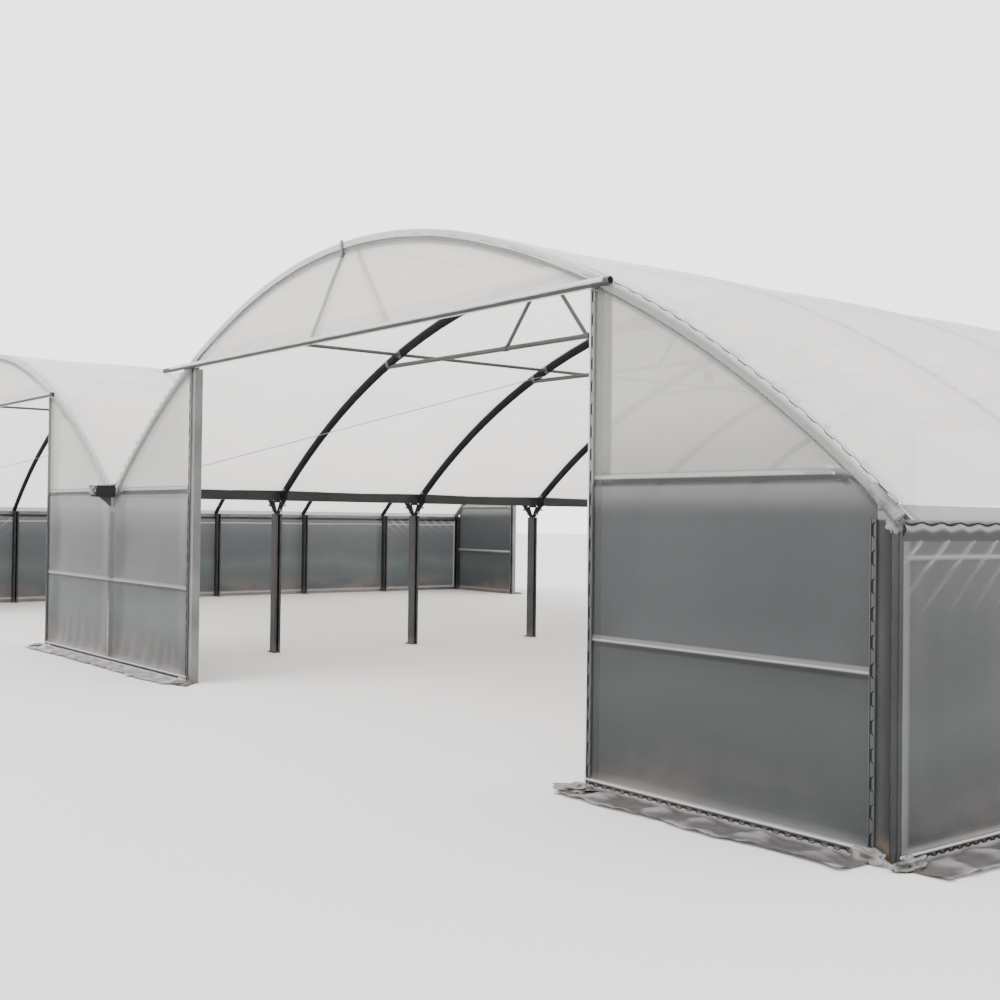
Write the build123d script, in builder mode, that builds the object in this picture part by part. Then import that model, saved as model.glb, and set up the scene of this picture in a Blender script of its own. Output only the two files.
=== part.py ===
from build123d import *
from math import cos, radians, sin
import os

# Gutter-connected polytunnel greenhouse of two spans, in millimetres.
# X runs across the spans, Y along the tunnels with the front at -Y, and Z up from the ground.
# The origin is on the ground, under the valley gutter, half way along the house.

# Plan
span_width = 9600
bay_length = 2000
bay_count = 6
side_bay_width = 1980

# Arch: one crown arc and two flatter haunch arcs, measured at the hoops' outer face
# It passes over the columns' centre lines at this height above their head plates
crown_height = 3806
spring_rise = 167.5
crown_half_angle = 16
haunch_to_crown_ratio = 1.414
foot_overrun_angle = 2.3
crown_chords = 8
haunch_chords = 8

# Hoops
hoop_depth = 100
hoop_width = 60

# Columns and door posts, lipped C sections
column_height = 1640
column_width = 110
column_depth = 80
column_lip = 26
post_width = 100
section_wall = 4
head_plate_thickness = 8
head_plate_overhang = 6
foot_plate_thickness = 8
foot_plate_reach = 70

# Valley gutter and its V brackets
gutter_top_half = 120
gutter_floor_half = 60
gutter_depth = 125
gutter_sheet = 3
gutter_lip = 10
gutter_overhang = 220
bracket_thickness = 10
bracket_reach = 235
bracket_rise = 62
bracket_strap = 22

# Rails
header_diameter = 48
header_crossing = 125
header_long_reach = 570
header_short_reach = 145
tube_wall = 3
bar_sides = 8
upper_rail_diameter = 60
upper_rail_rise = 227
lower_rail_diameter = 50
lower_rail_height = 905
eave_rail_width = 50
eave_rail_height = 60
base_rail_width = 40
base_rail_height = 60

# Bracing inside
tie_diameter = 42
tie_rise = 130
strut_diameter = 34
strut_foot = 540
strut_head = 34
strut_split = 4
purlin_diameter = 32
haunch_purlin_offset = 2270
cable_diameter = 8
cable_foot_setback = 300
cable_bays = 2

# Film and its lock channels
film_thickness = 3
lock_width = 34
lock_thickness = 12
lock_wall = 3
lock_edge = 4
lock_lift = 16
lock_gap = 2
skirt_width = 340
skirt_thickness = 3

# Clearance between curved faces that meet
seat_gap = 0.3

# How far the faces that only cut reach past the ground and the crown
cutting_margin = 200

# How closely the arch's spring angle is found, in degrees
angle_tolerance = 1e-9

# Places that follow from the sizes above
bar_turn = 180 / bar_sides
half_span = span_width / 2
half_length = bay_length * bay_count / 2
span_centres = (half_span, -half_span)
frame_lines = [-half_length + bay_length * index for index in range(bay_count + 1)]
inner_lines = frame_lines[1:-1]
gable_face = half_length + column_depth / 2
gable_hoop_line = gable_face - hoop_width / 2
roof_half_length = gable_face + film_thickness
post_centre = half_span - side_bay_width
over_crown = crown_height + cutting_margin
seat_height = column_height + head_plate_thickness
upper_rail_height = seat_height + upper_rail_rise
wall_face = span_width + column_width / 2 + eave_rail_width
cable_foot = half_span - cable_foot_setback
header_long_end = post_centre + header_long_reach
header_short_end = post_centre + header_short_reach
spring_height = seat_height + spring_rise


def unit_arch(angle):
    """Distance out and drop at an angle on the haunch of an arch whose crown has a radius of one."""
    step = haunch_to_crown_ratio - 1
    crown_end = radians(crown_half_angle)
    out = haunch_to_crown_ratio * sin(radians(angle)) - step * sin(crown_end)
    drop = 1 + step * cos(crown_end) - haunch_to_crown_ratio * cos(radians(angle))
    return out, drop


def spring_angle():
    """Angle at which the haunch passes over the column, found by halving."""
    flat, steep = crown_half_angle, 90
    while steep - flat > angle_tolerance:
        middle = (flat + steep) / 2
        out, drop = unit_arch(middle)
        if drop / out < (crown_height - spring_height) / half_span:
            flat = middle
        else:
            steep = middle
    return flat


crown_radius = half_span / unit_arch(spring_angle())[0]
haunch_radius = crown_radius * haunch_to_crown_ratio
arch_end_angle = spring_angle() + foot_overrun_angle
crown_centre_height = crown_height - crown_radius
radius_step = haunch_radius - crown_radius
haunch_centre_shift = radius_step * sin(radians(crown_half_angle))
haunch_centre_height = crown_centre_height - radius_step * cos(radians(crown_half_angle))


def arc_points(centre_x, centre_z, radius, first_angle, last_angle, chords):
    """Points along an arc, with its angles measured in degrees from upright."""
    points = []
    for step in range(chords + 1):
        angle = radians(first_angle + (last_angle - first_angle) * step / chords)
        points.append((centre_x + radius * sin(angle), centre_z + radius * cos(angle)))
    return points


def arch_points(inset):
    """Points of the rolled arch, moved in by inset, from the left foot to the right one."""
    crown_arc = (0, crown_centre_height, crown_radius - inset)
    haunch_arc = (-haunch_centre_shift, haunch_centre_height, haunch_radius - inset)
    crown = arc_points(*crown_arc, -crown_half_angle, crown_half_angle, crown_chords)
    haunch = arc_points(*haunch_arc, crown_half_angle, arch_end_angle, haunch_chords)
    mirrored_haunch = [(-x, z) for x, z in reversed(haunch)]
    return mirrored_haunch + crown[1:-1] + haunch


def arch_height(distance, inset=0):
    """Height of the arch, moved in by inset, at a distance from the span's centre line."""
    points = arch_points(inset)
    for (x_low, z_low), (x_high, z_high) in zip(points[:-1], points[1:]):
        if x_low <= distance <= x_high:
            return z_low + (z_high - z_low) * (distance - x_low) / (x_high - x_low)
    return 0


gutter_top = arch_height(half_span - gutter_top_half) + gutter_lip
gutter_floor = gutter_top - gutter_depth
header_height = arch_height(post_centre + header_crossing)
tie_height = header_height + tie_rise


def arch_face(inset):
    """Face of all that lies under the arch, moved in by inset, down past the ground."""
    points = arch_points(inset)
    reach = points[-1][0]
    with BuildSketch(mode=Mode.PRIVATE) as region:
        with BuildLine():
            Polyline(*points, (reach, -cutting_margin), (-reach, -cutting_margin), close=True)
        make_face()
    return region.sketch


def rectangle(x_low, x_high, z_low, z_high):
    """Face between two X and two Z values."""
    with BuildSketch(mode=Mode.PRIVATE) as region:
        with Locations(((x_low + x_high) / 2, (z_low + z_high) / 2)):
            Rectangle(x_high - x_low, z_high - z_low)
    return region.sketch


def front_plane(distance):
    """Upright plane across the house, at this distance in front of the middle."""
    return Plane.XZ.offset(distance)


def save(node, name):
    """Label a finished piece and write its file."""
    node.part.label = name
    export_step(node.part, f"parts/{name}.step")


os.makedirs("parts", exist_ok=True)

outer_arch = arch_face(0)
under_hoop = arch_face(hoop_depth)
clear_of_hoop = arch_face(hoop_depth + seat_gap)
over_film = arch_face(-film_thickness)

# The valley foot is cut upright beside the gutter, and the eave foot level on its head plate
hoop_bounds = rectangle(-half_span + gutter_top_half, wall_face - half_span, seat_height, crown_height)
film_bounds = rectangle(-half_span + gutter_top_half, wall_face - half_span, 0, over_crown)

with BuildSketch() as hoop_profile:
    add(outer_arch)
    add(under_hoop, mode=Mode.SUBTRACT)
    add(hoop_bounds, mode=Mode.INTERSECT)

with BuildPart() as right_hoops:
    for line in inner_lines:
        with BuildSketch(front_plane(line)):
            with Locations((half_span, 0)):
                add(hoop_profile.sketch)
        extrude(amount=hoop_width / 2, both=True)
save(right_hoops, "right_hoops")

with BuildPart() as left_hoops:
    mirror(right_hoops.part, about=Plane.YZ)
save(left_hoops, "left_hoops")

with BuildPart() as front_gable_hoops:
    with BuildSketch(front_plane(gable_hoop_line)):
        with Locations((half_span, 0)):
            add(hoop_profile.sketch)
    extrude(amount=hoop_width / 2, both=True)
    mirror(about=Plane.YZ)
save(front_gable_hoops, "front_gable_hoops")

with BuildPart() as back_gable_hoops:
    mirror(front_gable_hoops.part, about=Plane.XZ)
save(back_gable_hoops, "back_gable_hoops")

# Columns: the slot of an inner column faces +X, that of a gable column faces into the house
with BuildSketch() as slot_to_x:
    Rectangle(column_width, column_depth)
    Rectangle(column_width - 2 * section_wall, column_depth - 2 * section_wall, mode=Mode.SUBTRACT)
    with Locations(((column_width - section_wall) / 2, 0)):
        Rectangle(section_wall, column_depth - 2 * column_lip, mode=Mode.SUBTRACT)

with BuildSketch() as slot_to_y:
    Rectangle(column_width, column_depth)
    Rectangle(column_width - 2 * section_wall, column_depth - 2 * section_wall, mode=Mode.SUBTRACT)
    with Locations((0, (column_depth - section_wall) / 2)):
        Rectangle(column_width - 2 * column_lip, section_wall, mode=Mode.SUBTRACT)

with BuildPart() as valley_columns:
    with BuildSketch(Plane.XY.offset(foot_plate_thickness)):
        for line in inner_lines:
            with Locations((0, line)):
                add(slot_to_x.sketch)
        with Locations((0, -half_length)):
            add(slot_to_y.sketch)
        with Locations((0, half_length)):
            add(slot_to_y.sketch, rotation=180)
    extrude(amount=column_height - foot_plate_thickness)
save(valley_columns, "valley_columns")

with BuildPart() as right_columns:
    with BuildSketch(Plane.XY.offset(foot_plate_thickness)):
        for line in inner_lines:
            with Locations((span_width, line)):
                add(slot_to_x.sketch, rotation=180)
        with Locations((span_width, -half_length)):
            add(slot_to_y.sketch)
        with Locations((span_width, half_length)):
            add(slot_to_y.sketch, rotation=180)
    extrude(amount=column_height - foot_plate_thickness)
save(right_columns, "right_columns")

with BuildPart() as left_columns:
    mirror(right_columns.part, about=Plane.YZ)
save(left_columns, "left_columns")

eave_plate_centre = span_width - head_plate_overhang / 2
with BuildPart() as column_head_plates:
    with BuildSketch(Plane.XY.offset(column_height)):
        for line in frame_lines:
            with Locations((0, line)):
                Rectangle(column_width + 2 * head_plate_overhang, column_depth)
            with Locations((eave_plate_centre, line), (-eave_plate_centre, line)):
                Rectangle(column_width + head_plate_overhang, column_depth)
    extrude(amount=head_plate_thickness)
save(column_head_plates, "column_head_plates")

# Foot plates on the ground, wider than the inner columns on one side
inner_plate_centres = (
    -foot_plate_reach / 2,
    span_width - foot_plate_reach / 2,
    foot_plate_reach / 2 - span_width,
)
with BuildPart() as column_foot_plates:
    with BuildSketch():
        for line in inner_lines:
            with Locations(*[(centre, line) for centre in inner_plate_centres]):
                Rectangle(column_width + foot_plate_reach, column_depth)
        for line in (-half_length, half_length):
            with Locations((0, line), (span_width, line), (-span_width, line)):
                Rectangle(column_width, column_depth)
    extrude(amount=foot_plate_thickness)
save(column_foot_plates, "column_foot_plates")

# Valley gutter, a folded trough
with BuildPart() as valley_gutter:
    with BuildSketch(Plane.XZ):
        with BuildLine():
            Polyline(
                (-gutter_top_half + seat_gap, gutter_top),
                (-gutter_floor_half, gutter_floor),
                (gutter_floor_half, gutter_floor),
                (gutter_top_half - seat_gap, gutter_top),
                (gutter_top_half - seat_gap - gutter_sheet, gutter_top),
                (gutter_floor_half - gutter_sheet, gutter_floor + gutter_sheet),
                (-gutter_floor_half + gutter_sheet, gutter_floor + gutter_sheet),
                (-gutter_top_half + seat_gap + gutter_sheet, gutter_top),
                close=True,
            )
        make_face()
    extrude(amount=gable_face + gutter_overhang, both=True)
save(valley_gutter, "valley_gutter")

# V brackets: two arms under the hoops' feet and a level seat for the gutter
with BuildSketch() as bracket_profile:
    with BuildLine():
        arm_inner = half_span - gutter_top_half
        arm_outer = half_span - bracket_reach
        Polyline(
            (column_width / 2, seat_height),
            (bracket_reach, arch_height(arm_outer, hoop_depth + seat_gap) - bracket_rise),
            (bracket_reach, arch_height(arm_outer, hoop_depth + seat_gap)),
            (gutter_top_half, arch_height(arm_inner, hoop_depth + seat_gap)),
            (gutter_floor_half, gutter_floor),
            (-gutter_floor_half, gutter_floor),
            (-gutter_top_half, arch_height(arm_inner, hoop_depth + seat_gap)),
            (-bracket_reach, arch_height(arm_outer, hoop_depth + seat_gap)),
            (-bracket_reach, arch_height(arm_outer, hoop_depth + seat_gap) - bracket_rise),
            (-column_width / 2, seat_height),
            close=True,
        )
    make_face()
    with BuildLine():
        Polyline(
            (0, seat_height + bracket_strap),
            (gutter_floor_half, gutter_floor - bracket_strap),
            (-gutter_floor_half, gutter_floor - bracket_strap),
            close=True,
        )
    make_face(mode=Mode.SUBTRACT)

with BuildPart() as valley_brackets:
    for line in frame_lines:
        with BuildSketch(front_plane(line)):
            add(bracket_profile.sketch)
        extrude(amount=bracket_thickness / 2, both=True)
save(valley_brackets, "valley_brackets")

# Eave and base rails along the side walls
eave_rail_floor = seat_height - eave_rail_height
with BuildPart() as right_eave_rail:
    with BuildSketch(Plane.XZ):
        add(rectangle(span_width + column_width / 2, wall_face, eave_rail_floor, seat_height))
    extrude(amount=gable_face, both=True)
save(right_eave_rail, "right_eave_rail")

with BuildPart() as left_eave_rail:
    mirror(right_eave_rail.part, about=Plane.YZ)
save(left_eave_rail, "left_eave_rail")

with BuildPart() as side_base_rails:
    with BuildSketch(Plane.XZ):
        add(rectangle(span_width + column_width / 2, wall_face, 0, base_rail_height))
    extrude(amount=gable_face, both=True)
    mirror(about=Plane.YZ)
save(side_base_rails, "side_base_rails")

# Door posts, cut to the arch at their tops
with BuildSketch() as post_section:
    Rectangle(post_width, column_depth)
    Rectangle(post_width - 2 * section_wall, column_depth - 2 * section_wall, mode=Mode.SUBTRACT)
    with Locations((0, (column_depth - section_wall) / 2)):
        Rectangle(post_width - 2 * column_lip, section_wall, mode=Mode.SUBTRACT)

with BuildPart() as front_door_posts:
    with BuildSketch():
        for centre in span_centres:
            for side in (-1, 1):
                with Locations((centre + side * post_centre, -half_length)):
                    add(post_section.sketch)
    extrude(amount=crown_height)
    with BuildSketch(front_plane(half_length)):
        for centre in span_centres:
            with Locations((centre, 0)):
                add(clear_of_hoop)
    extrude(amount=column_depth, both=True, mode=Mode.INTERSECT)
save(front_door_posts, "front_door_posts")

with BuildPart() as back_door_posts:
    mirror(front_door_posts.part, about=Plane.XZ)
save(back_door_posts, "back_door_posts")

# Round rails of the gable bays, just behind the film
# The lower one ends at the column, and the upper one at the valley bracket or under the hoop
rail_runs = []
for centre in span_centres:
    for side in (-1, 1):
        valley_side = centre * side < 0
        reach = half_span - column_width / 2
        rail_runs.append((centre, side, lower_rail_height, lower_rail_diameter, reach))
        reach = half_span - bracket_reach if valley_side else half_span
        rail_runs.append((centre, side, upper_rail_height, upper_rail_diameter, reach))

with BuildPart() as front_gable_rails:
    for centre, side, height, diameter, reach in rail_runs:
        near = post_centre + post_width / 2
        with BuildSketch(Plane.YZ.offset(centre + side * near)):
            with Locations((-gable_face + diameter / 2, height)):
                Circle(diameter / 2)
        extrude(amount=side * (reach - near))
    with BuildSketch(front_plane(half_length)):
        for centre in span_centres:
            with Locations((centre, 0)):
                add(clear_of_hoop)
    extrude(amount=column_depth, both=True, mode=Mode.INTERSECT)
save(front_gable_rails, "front_gable_rails")

with BuildPart() as back_gable_rails:
    mirror(front_gable_rails.part, about=Plane.XZ)
save(back_gable_rails, "back_gable_rails")

# Base rails of the gable bays, on the ground between posts and columns
with BuildPart() as front_base_rails:
    with BuildSketch(Plane.XY):
        for centre in span_centres:
            for side in (-1, 1):
                middle = (post_centre + post_width / 2 + half_span - column_width / 2) / 2
                length = half_span - column_width / 2 - post_centre - post_width / 2
                with Locations((centre + side * middle, -gable_face + base_rail_width / 2)):
                    Rectangle(length, base_rail_width)
    extrude(amount=base_rail_height)
save(front_base_rails, "front_base_rails")

with BuildPart() as back_base_rails:
    mirror(front_base_rails.part, about=Plane.XZ)
save(back_base_rails, "back_base_rails")

# Header tubes with open ends, in front of the gable film and its lock channel, longer at the left
header_line = gable_face + film_thickness + lock_thickness + seat_gap + header_diameter / 2
with BuildPart() as front_headers:
    for centre in span_centres:
        with BuildSketch(Plane.YZ.offset(centre - header_long_end)):
            with Locations((-header_line, header_height)):
                Circle(header_diameter / 2)
                Circle(header_diameter / 2 - tube_wall, mode=Mode.SUBTRACT)
        extrude(amount=header_long_end + header_short_end)
save(front_headers, "front_headers")

with BuildPart() as back_headers:
    mirror(front_headers.part, about=Plane.XZ)
save(back_headers, "back_headers")

# Tie tubes of the inner hoops, a little above the headers, cut to the arch at their ends
with BuildPart() as right_hoop_ties:
    with BuildSketch(Plane.YZ):
        for line in inner_lines:
            with Locations((line, tie_height)):
                RegularPolygon(tie_diameter / 2, bar_sides, major_radius=False, rotation=bar_turn)
    extrude(amount=span_width)
    with BuildSketch(Plane.XZ):
        with Locations((half_span, 0)):
            add(clear_of_hoop)
    extrude(amount=half_length, both=True, mode=Mode.INTERSECT)
save(right_hoop_ties, "right_hoop_ties")

with BuildPart() as left_hoop_ties:
    mirror(right_hoop_ties.part, about=Plane.YZ)
save(left_hoop_ties, "left_hoop_ties")

# Crown struts: a V from the crown down to the tie, and at the gables down to the header
gable_strut_bottom = header_height + header_diameter / 2 + seat_gap
inner_strut_bottom = tie_height + tie_diameter / 2 + seat_gap
gable_strut_line = gable_face - strut_diameter / 2
strut_places = [(line, tie_height) for line in inner_lines]
strut_places += [(-gable_strut_line, header_height), (gable_strut_line, header_height)]
with BuildPart() as right_crown_struts:
    for line, foot_height in strut_places:
        for side in (-1, 1):
            foot = Vector(half_span + side * strut_foot, line, foot_height)
            head = Vector(half_span + side * strut_head, line, crown_height)
            with BuildSketch(Plane(foot, z_dir=head - foot)):
                RegularPolygon(strut_diameter / 2, bar_sides, major_radius=False, rotation=bar_turn)
            extrude(amount=(head - foot).length)
    with BuildSketch(Plane.XZ):
        with Locations((half_span, 0)):
            add(clear_of_hoop)
            with Locations((0, gable_strut_bottom / 2)):
                Rectangle(span_width, gable_strut_bottom, mode=Mode.SUBTRACT)
            Rectangle(strut_split, 2 * over_crown, mode=Mode.SUBTRACT)
    extrude(amount=gable_face, both=True, mode=Mode.INTERSECT)
    with BuildSketch(Plane.XZ):
        with Locations((half_span, inner_strut_bottom / 2)):
            Rectangle(span_width, inner_strut_bottom)
    extrude(amount=half_length - bay_length / 2, both=True, mode=Mode.SUBTRACT)
save(right_crown_struts, "right_crown_struts")

with BuildPart() as left_crown_struts:
    mirror(right_crown_struts.part, about=Plane.YZ)
save(left_crown_struts, "left_crown_struts")

# Purlins, cut in lengths between the hoops, half way through the hoops' depth
purlin_runs = []
for before, after in zip(frame_lines[:-1], frame_lines[1:]):
    start = before + hoop_width / 2
    end = after - hoop_width / 2
    if before == frame_lines[0]:
        start = -gable_hoop_line + hoop_width / 2
    if after == frame_lines[-1]:
        end = gable_hoop_line - hoop_width / 2
    purlin_runs.append((start, end))

with BuildPart() as ridge_purlins:
    for start, end in purlin_runs:
        with BuildSketch(front_plane(-start)):
            with Locations(*[(centre, crown_height - hoop_depth / 2) for centre in span_centres]):
                RegularPolygon(purlin_diameter / 2, bar_sides, major_radius=False)
        extrude(amount=-(end - start))
save(ridge_purlins, "ridge_purlins")

haunch_purlin_height = arch_height(haunch_purlin_offset, hoop_depth / 2)
with BuildPart() as haunch_purlins:
    for start, end in purlin_runs:
        with BuildSketch(front_plane(-start)):
            for centre in span_centres:
                for side in (-1, 1):
                    with Locations((centre + side * haunch_purlin_offset, haunch_purlin_height)):
                        RegularPolygon(purlin_diameter / 2, bar_sides, major_radius=False)
        extrude(amount=-(end - start))
save(haunch_purlins, "haunch_purlins")

# Taut wind-brace cables, each from a gable hoop's foot up to a haunch two bays in
cable_inset = hoop_depth + seat_gap + cable_diameter / 2
with BuildPart() as wind_brace_cables:
    for centre in span_centres:
        for side in (-1, 1):
            for end in (-1, 1):
                foot = Vector(
                    centre + side * cable_foot,
                    end * (gable_hoop_line - hoop_width / 2),
                    arch_height(cable_foot, cable_inset),
                )
                head = Vector(
                    centre + side * haunch_purlin_offset,
                    end * (half_length - cable_bays * bay_length),
                    arch_height(haunch_purlin_offset, cable_inset),
                )
                with BuildSketch(Plane(foot, z_dir=head - foot)):
                    RegularPolygon(cable_diameter / 2, bar_sides)
                extrude(amount=(head - foot).length)
save(wind_brace_cables, "wind_brace_cables")

# Roof films, from the gutter's lip over the hoops to the eave
with BuildSketch() as roof_film_profile:
    add(over_film)
    add(outer_arch, mode=Mode.SUBTRACT)
    add(film_bounds, mode=Mode.INTERSECT)

with BuildPart() as right_roof_film:
    with BuildSketch(Plane.XZ):
        with Locations((half_span, 0)):
            add(roof_film_profile.sketch)
    extrude(amount=roof_half_length, both=True)
save(right_roof_film, "right_roof_film")

with BuildPart() as left_roof_film:
    mirror(right_roof_film.part, about=Plane.YZ)
save(left_roof_film, "left_roof_film")

# Side films, from the roof film's edge down the outside of the rails to the ground
side_film_top = arch_height(wall_face - half_span, -film_thickness)
with BuildPart() as right_side_film:
    with BuildSketch(Plane.XZ):
        add(rectangle(wall_face, wall_face + film_thickness, 0, side_film_top))
    extrude(amount=roof_half_length, both=True)
save(right_side_film, "right_side_film")

with BuildPart() as left_side_film:
    mirror(right_side_film.part, about=Plane.YZ)
save(left_side_film, "left_side_film")

# Gable films, on the face of the posts and rails, up to the roof film
lunette_floor = header_height - header_diameter / 2
covered_edge = post_centre - post_width / 2
bare_edge = post_centre + post_width / 2 - lock_width
column_edge = half_span - column_width / 2 + lock_width

with BuildPart() as front_lunette_films:
    with BuildSketch(front_plane(gable_face)):
        with Locations((half_span, 0)):
            add(outer_arch)
            add(rectangle(-covered_edge, covered_edge, lunette_floor, crown_height), mode=Mode.INTERSECT)
    extrude(amount=film_thickness)
    mirror(about=Plane.YZ)
save(front_lunette_films, "front_lunette_films")

with BuildPart() as back_lunette_films:
    mirror(front_lunette_films.part, about=Plane.XZ)
save(back_lunette_films, "back_lunette_films")

with BuildPart() as front_right_bay_film:
    with BuildSketch(front_plane(gable_face)):
        with Locations((half_span, 0)):
            add(outer_arch)
            add(rectangle(covered_edge, column_edge, 0, crown_height), mode=Mode.INTERSECT)
    extrude(amount=film_thickness)
save(front_right_bay_film, "front_right_bay_film")

with BuildPart() as front_left_bay_film:
    with BuildSketch(front_plane(gable_face)):
        with Locations((-half_span, 0)):
            add(outer_arch)
            add(rectangle(-column_edge, -bare_edge, 0, crown_height), mode=Mode.INTERSECT)
    extrude(amount=film_thickness)
save(front_left_bay_film, "front_left_bay_film")

# The valley film runs from one span's door post to the other's, cut out round the gutter
valley_film_edges = (covered_edge - half_span, half_span - bare_edge)
with BuildPart() as front_valley_film:
    with BuildSketch(front_plane(gable_face)):
        with Locations((half_span, 0), (-half_span, 0)):
            add(outer_arch)
        add(rectangle(*valley_film_edges, 0, crown_height), mode=Mode.INTERSECT)
        with BuildLine():
            Polyline(
                (-gutter_top_half, gutter_top),
                (-gutter_floor_half - seat_gap, gutter_floor - seat_gap),
                (gutter_floor_half + seat_gap, gutter_floor - seat_gap),
                (gutter_top_half, gutter_top),
                (gutter_top_half, crown_height),
                (-gutter_top_half, crown_height),
                close=True,
            )
        make_face(mode=Mode.SUBTRACT)
    extrude(amount=film_thickness)
save(front_valley_film, "front_valley_film")

for front_film, name in (
    (front_right_bay_film, "back_right_bay_film"),
    (front_left_bay_film, "back_left_bay_film"),
    (front_valley_film, "back_valley_film"),
):
    with BuildPart() as back_film:
        mirror(front_film.part, about=Plane.XZ)
    save(back_film, name)

# Lock channels, shallow U sections on the film's outer face
with BuildSketch() as channel_profile:
    with Locations((0, -lock_thickness / 2)):
        Rectangle(lock_width, lock_thickness)
    with Locations((0, -(lock_thickness + lock_wall) / 2)):
        Rectangle(lock_width - 2 * lock_wall, lock_thickness - lock_wall, mode=Mode.SUBTRACT)

film_face = gable_face + film_thickness
film_edges = (
    (half_span + covered_edge, half_span + column_edge),
    valley_film_edges,
    (-half_span - column_edge, -half_span - bare_edge),
)
with BuildSketch() as arch_lock_profile:
    add(arch_face(lock_edge))
    add(arch_face(lock_edge + lock_width), mode=Mode.SUBTRACT)
    add(hoop_bounds, mode=Mode.INTERSECT)

with BuildPart() as front_lock_channels:
    with BuildSketch(Plane.XY.offset(skirt_thickness)):
        for left_edge, right_edge in film_edges:
            for place in (left_edge + lock_width / 2, right_edge - lock_width / 2):
                if abs(place) < span_width - column_width:
                    with Locations((place, -film_face)):
                        add(channel_profile.sketch)
    extrude(amount=lunette_floor - skirt_thickness)
    with BuildSketch(Plane.XY.offset(skirt_thickness)):
        for place in (film_edges[0][1] - lock_width / 2, film_edges[2][0] + lock_width / 2):
            with Locations((place, -film_face)):
                add(channel_profile.sketch)
    extrude(amount=seat_height - skirt_thickness)
    for left_edge, right_edge in film_edges:
        with BuildSketch(Plane.YZ.offset(left_edge + lock_width + lock_gap)):
            with Locations((-film_face, lock_lift + lock_width / 2)):
                add(channel_profile.sketch, rotation=-90)
        extrude(amount=right_edge - left_edge - 2 * (lock_width + lock_gap))
    with BuildSketch(front_plane(film_face)):
        with Locations((half_span, 0)):
            add(arch_lock_profile.sketch)
    extrude(amount=lock_thickness)
    with BuildSketch(front_plane(film_face)):
        with Locations((-half_span, 0)):
            add(arch_lock_profile.sketch.mirror(Plane.YZ))
    extrude(amount=lock_thickness)
save(front_lock_channels, "front_lock_channels")

with BuildPart() as back_lock_channels:
    mirror(front_lock_channels.part, about=Plane.XZ)
save(back_lock_channels, "back_lock_channels")

with BuildPart() as side_lock_channels:
    with BuildSketch(Plane.XZ):
        for height in (lock_lift + lock_width / 2, seat_height - eave_rail_height / 2):
            with Locations((wall_face + film_thickness, height)):
                add(channel_profile.sketch, rotation=90)
    extrude(amount=gable_face, both=True)
    mirror(about=Plane.YZ)
save(side_lock_channels, "side_lock_channels")

# Film skirts that lie on the ground outside the walls
with BuildPart() as ground_skirts:
    with BuildSketch(Plane.XY):
        for left_edge, right_edge in film_edges:
            for end in (-1, 1):
                with Locations(((left_edge + right_edge) / 2, end * (film_face + skirt_width / 2))):
                    Rectangle(right_edge - left_edge, skirt_width)
        for side in (-1, 1):
            with Locations((side * (wall_face + film_thickness + skirt_width / 2), 0)):
                Rectangle(skirt_width, 2 * roof_half_length)
    extrude(amount=skirt_thickness)
save(ground_skirts, "ground_skirts")
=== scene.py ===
from math import asin, cos, pi, radians, sin, sqrt

import bmesh
import bpy
from bpy.props import FloatProperty, FloatVectorProperty, PointerProperty
from mathutils import Matrix, Vector, noise


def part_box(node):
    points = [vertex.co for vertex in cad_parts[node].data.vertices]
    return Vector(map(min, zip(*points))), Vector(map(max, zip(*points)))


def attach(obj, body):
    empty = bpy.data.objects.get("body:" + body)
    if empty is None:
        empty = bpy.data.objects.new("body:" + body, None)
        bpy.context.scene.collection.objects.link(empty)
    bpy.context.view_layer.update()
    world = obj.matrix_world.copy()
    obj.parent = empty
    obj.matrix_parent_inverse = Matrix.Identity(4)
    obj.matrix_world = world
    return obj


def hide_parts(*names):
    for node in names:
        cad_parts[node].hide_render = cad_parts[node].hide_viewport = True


bl_info = {
    "name": "Polytunnel Greenhouse",
    "version": (1, 0, 0),
    "blender": (4, 5, 0),
    "location": "View3D > Sidebar > Greenhouse",
    "description": "Dresses the frame of a two-span polytunnel with film, wire and fittings",
    "category": "Object",
}

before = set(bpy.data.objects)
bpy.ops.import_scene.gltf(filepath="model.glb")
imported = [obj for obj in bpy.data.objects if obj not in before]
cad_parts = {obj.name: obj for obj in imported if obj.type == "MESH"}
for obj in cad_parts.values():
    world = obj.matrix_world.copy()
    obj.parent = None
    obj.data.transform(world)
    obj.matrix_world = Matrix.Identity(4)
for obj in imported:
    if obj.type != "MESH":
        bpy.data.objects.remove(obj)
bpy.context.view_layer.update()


def middle_of(name, axis):
    """Middle of a node's box along an axis."""
    low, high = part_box(name)
    return (low[axis] + high[axis]) / 2


# Sizes of the frame, in metres and radians
half_span = 4.8
crown_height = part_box("right_hoops")[1].z
crown_radius = 5.7996
haunch_radius = 8.2007
crown_half_angle = radians(16)
hoop_depth = 0.1
hoop_width = 0.06
gable_face = -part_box("front_gable_hoops")[0].y
film_face = -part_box("front_valley_film")[0].y
wall_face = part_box("right_eave_rail")[1].x
seat_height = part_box("right_eave_rail")[1].z
gutter_top_half = 0.12
gutter_floor_half = 0.06
gutter_floor, gutter_top = (corner.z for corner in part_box("valley_gutter"))
gutter_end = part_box("valley_gutter")[1].y
lunette_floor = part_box("front_lunette_films")[0].z
header_height = middle_of("front_headers", 2)
header_line = -middle_of("front_headers", 1)
tie_height = middle_of("right_hoop_ties", 2)
upper_rail_height = 1.875
lower_rail_height = 0.905
rail_radii = {upper_rail_height: 0.03, lower_rail_height: 0.025}
lock_width = 0.034
lock_thickness = 0.012
lock_edge = 0.004
lock_lift = 0.016
lock_gap = 0.002
lock_line = lock_lift + lock_width / 2
groove_floor = 0.0072
wire_line = film_face + lock_thickness * 0.62
wall_lock_face = wall_face + 0.003
post_centre = 2.82
post_width = 0.1
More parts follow.
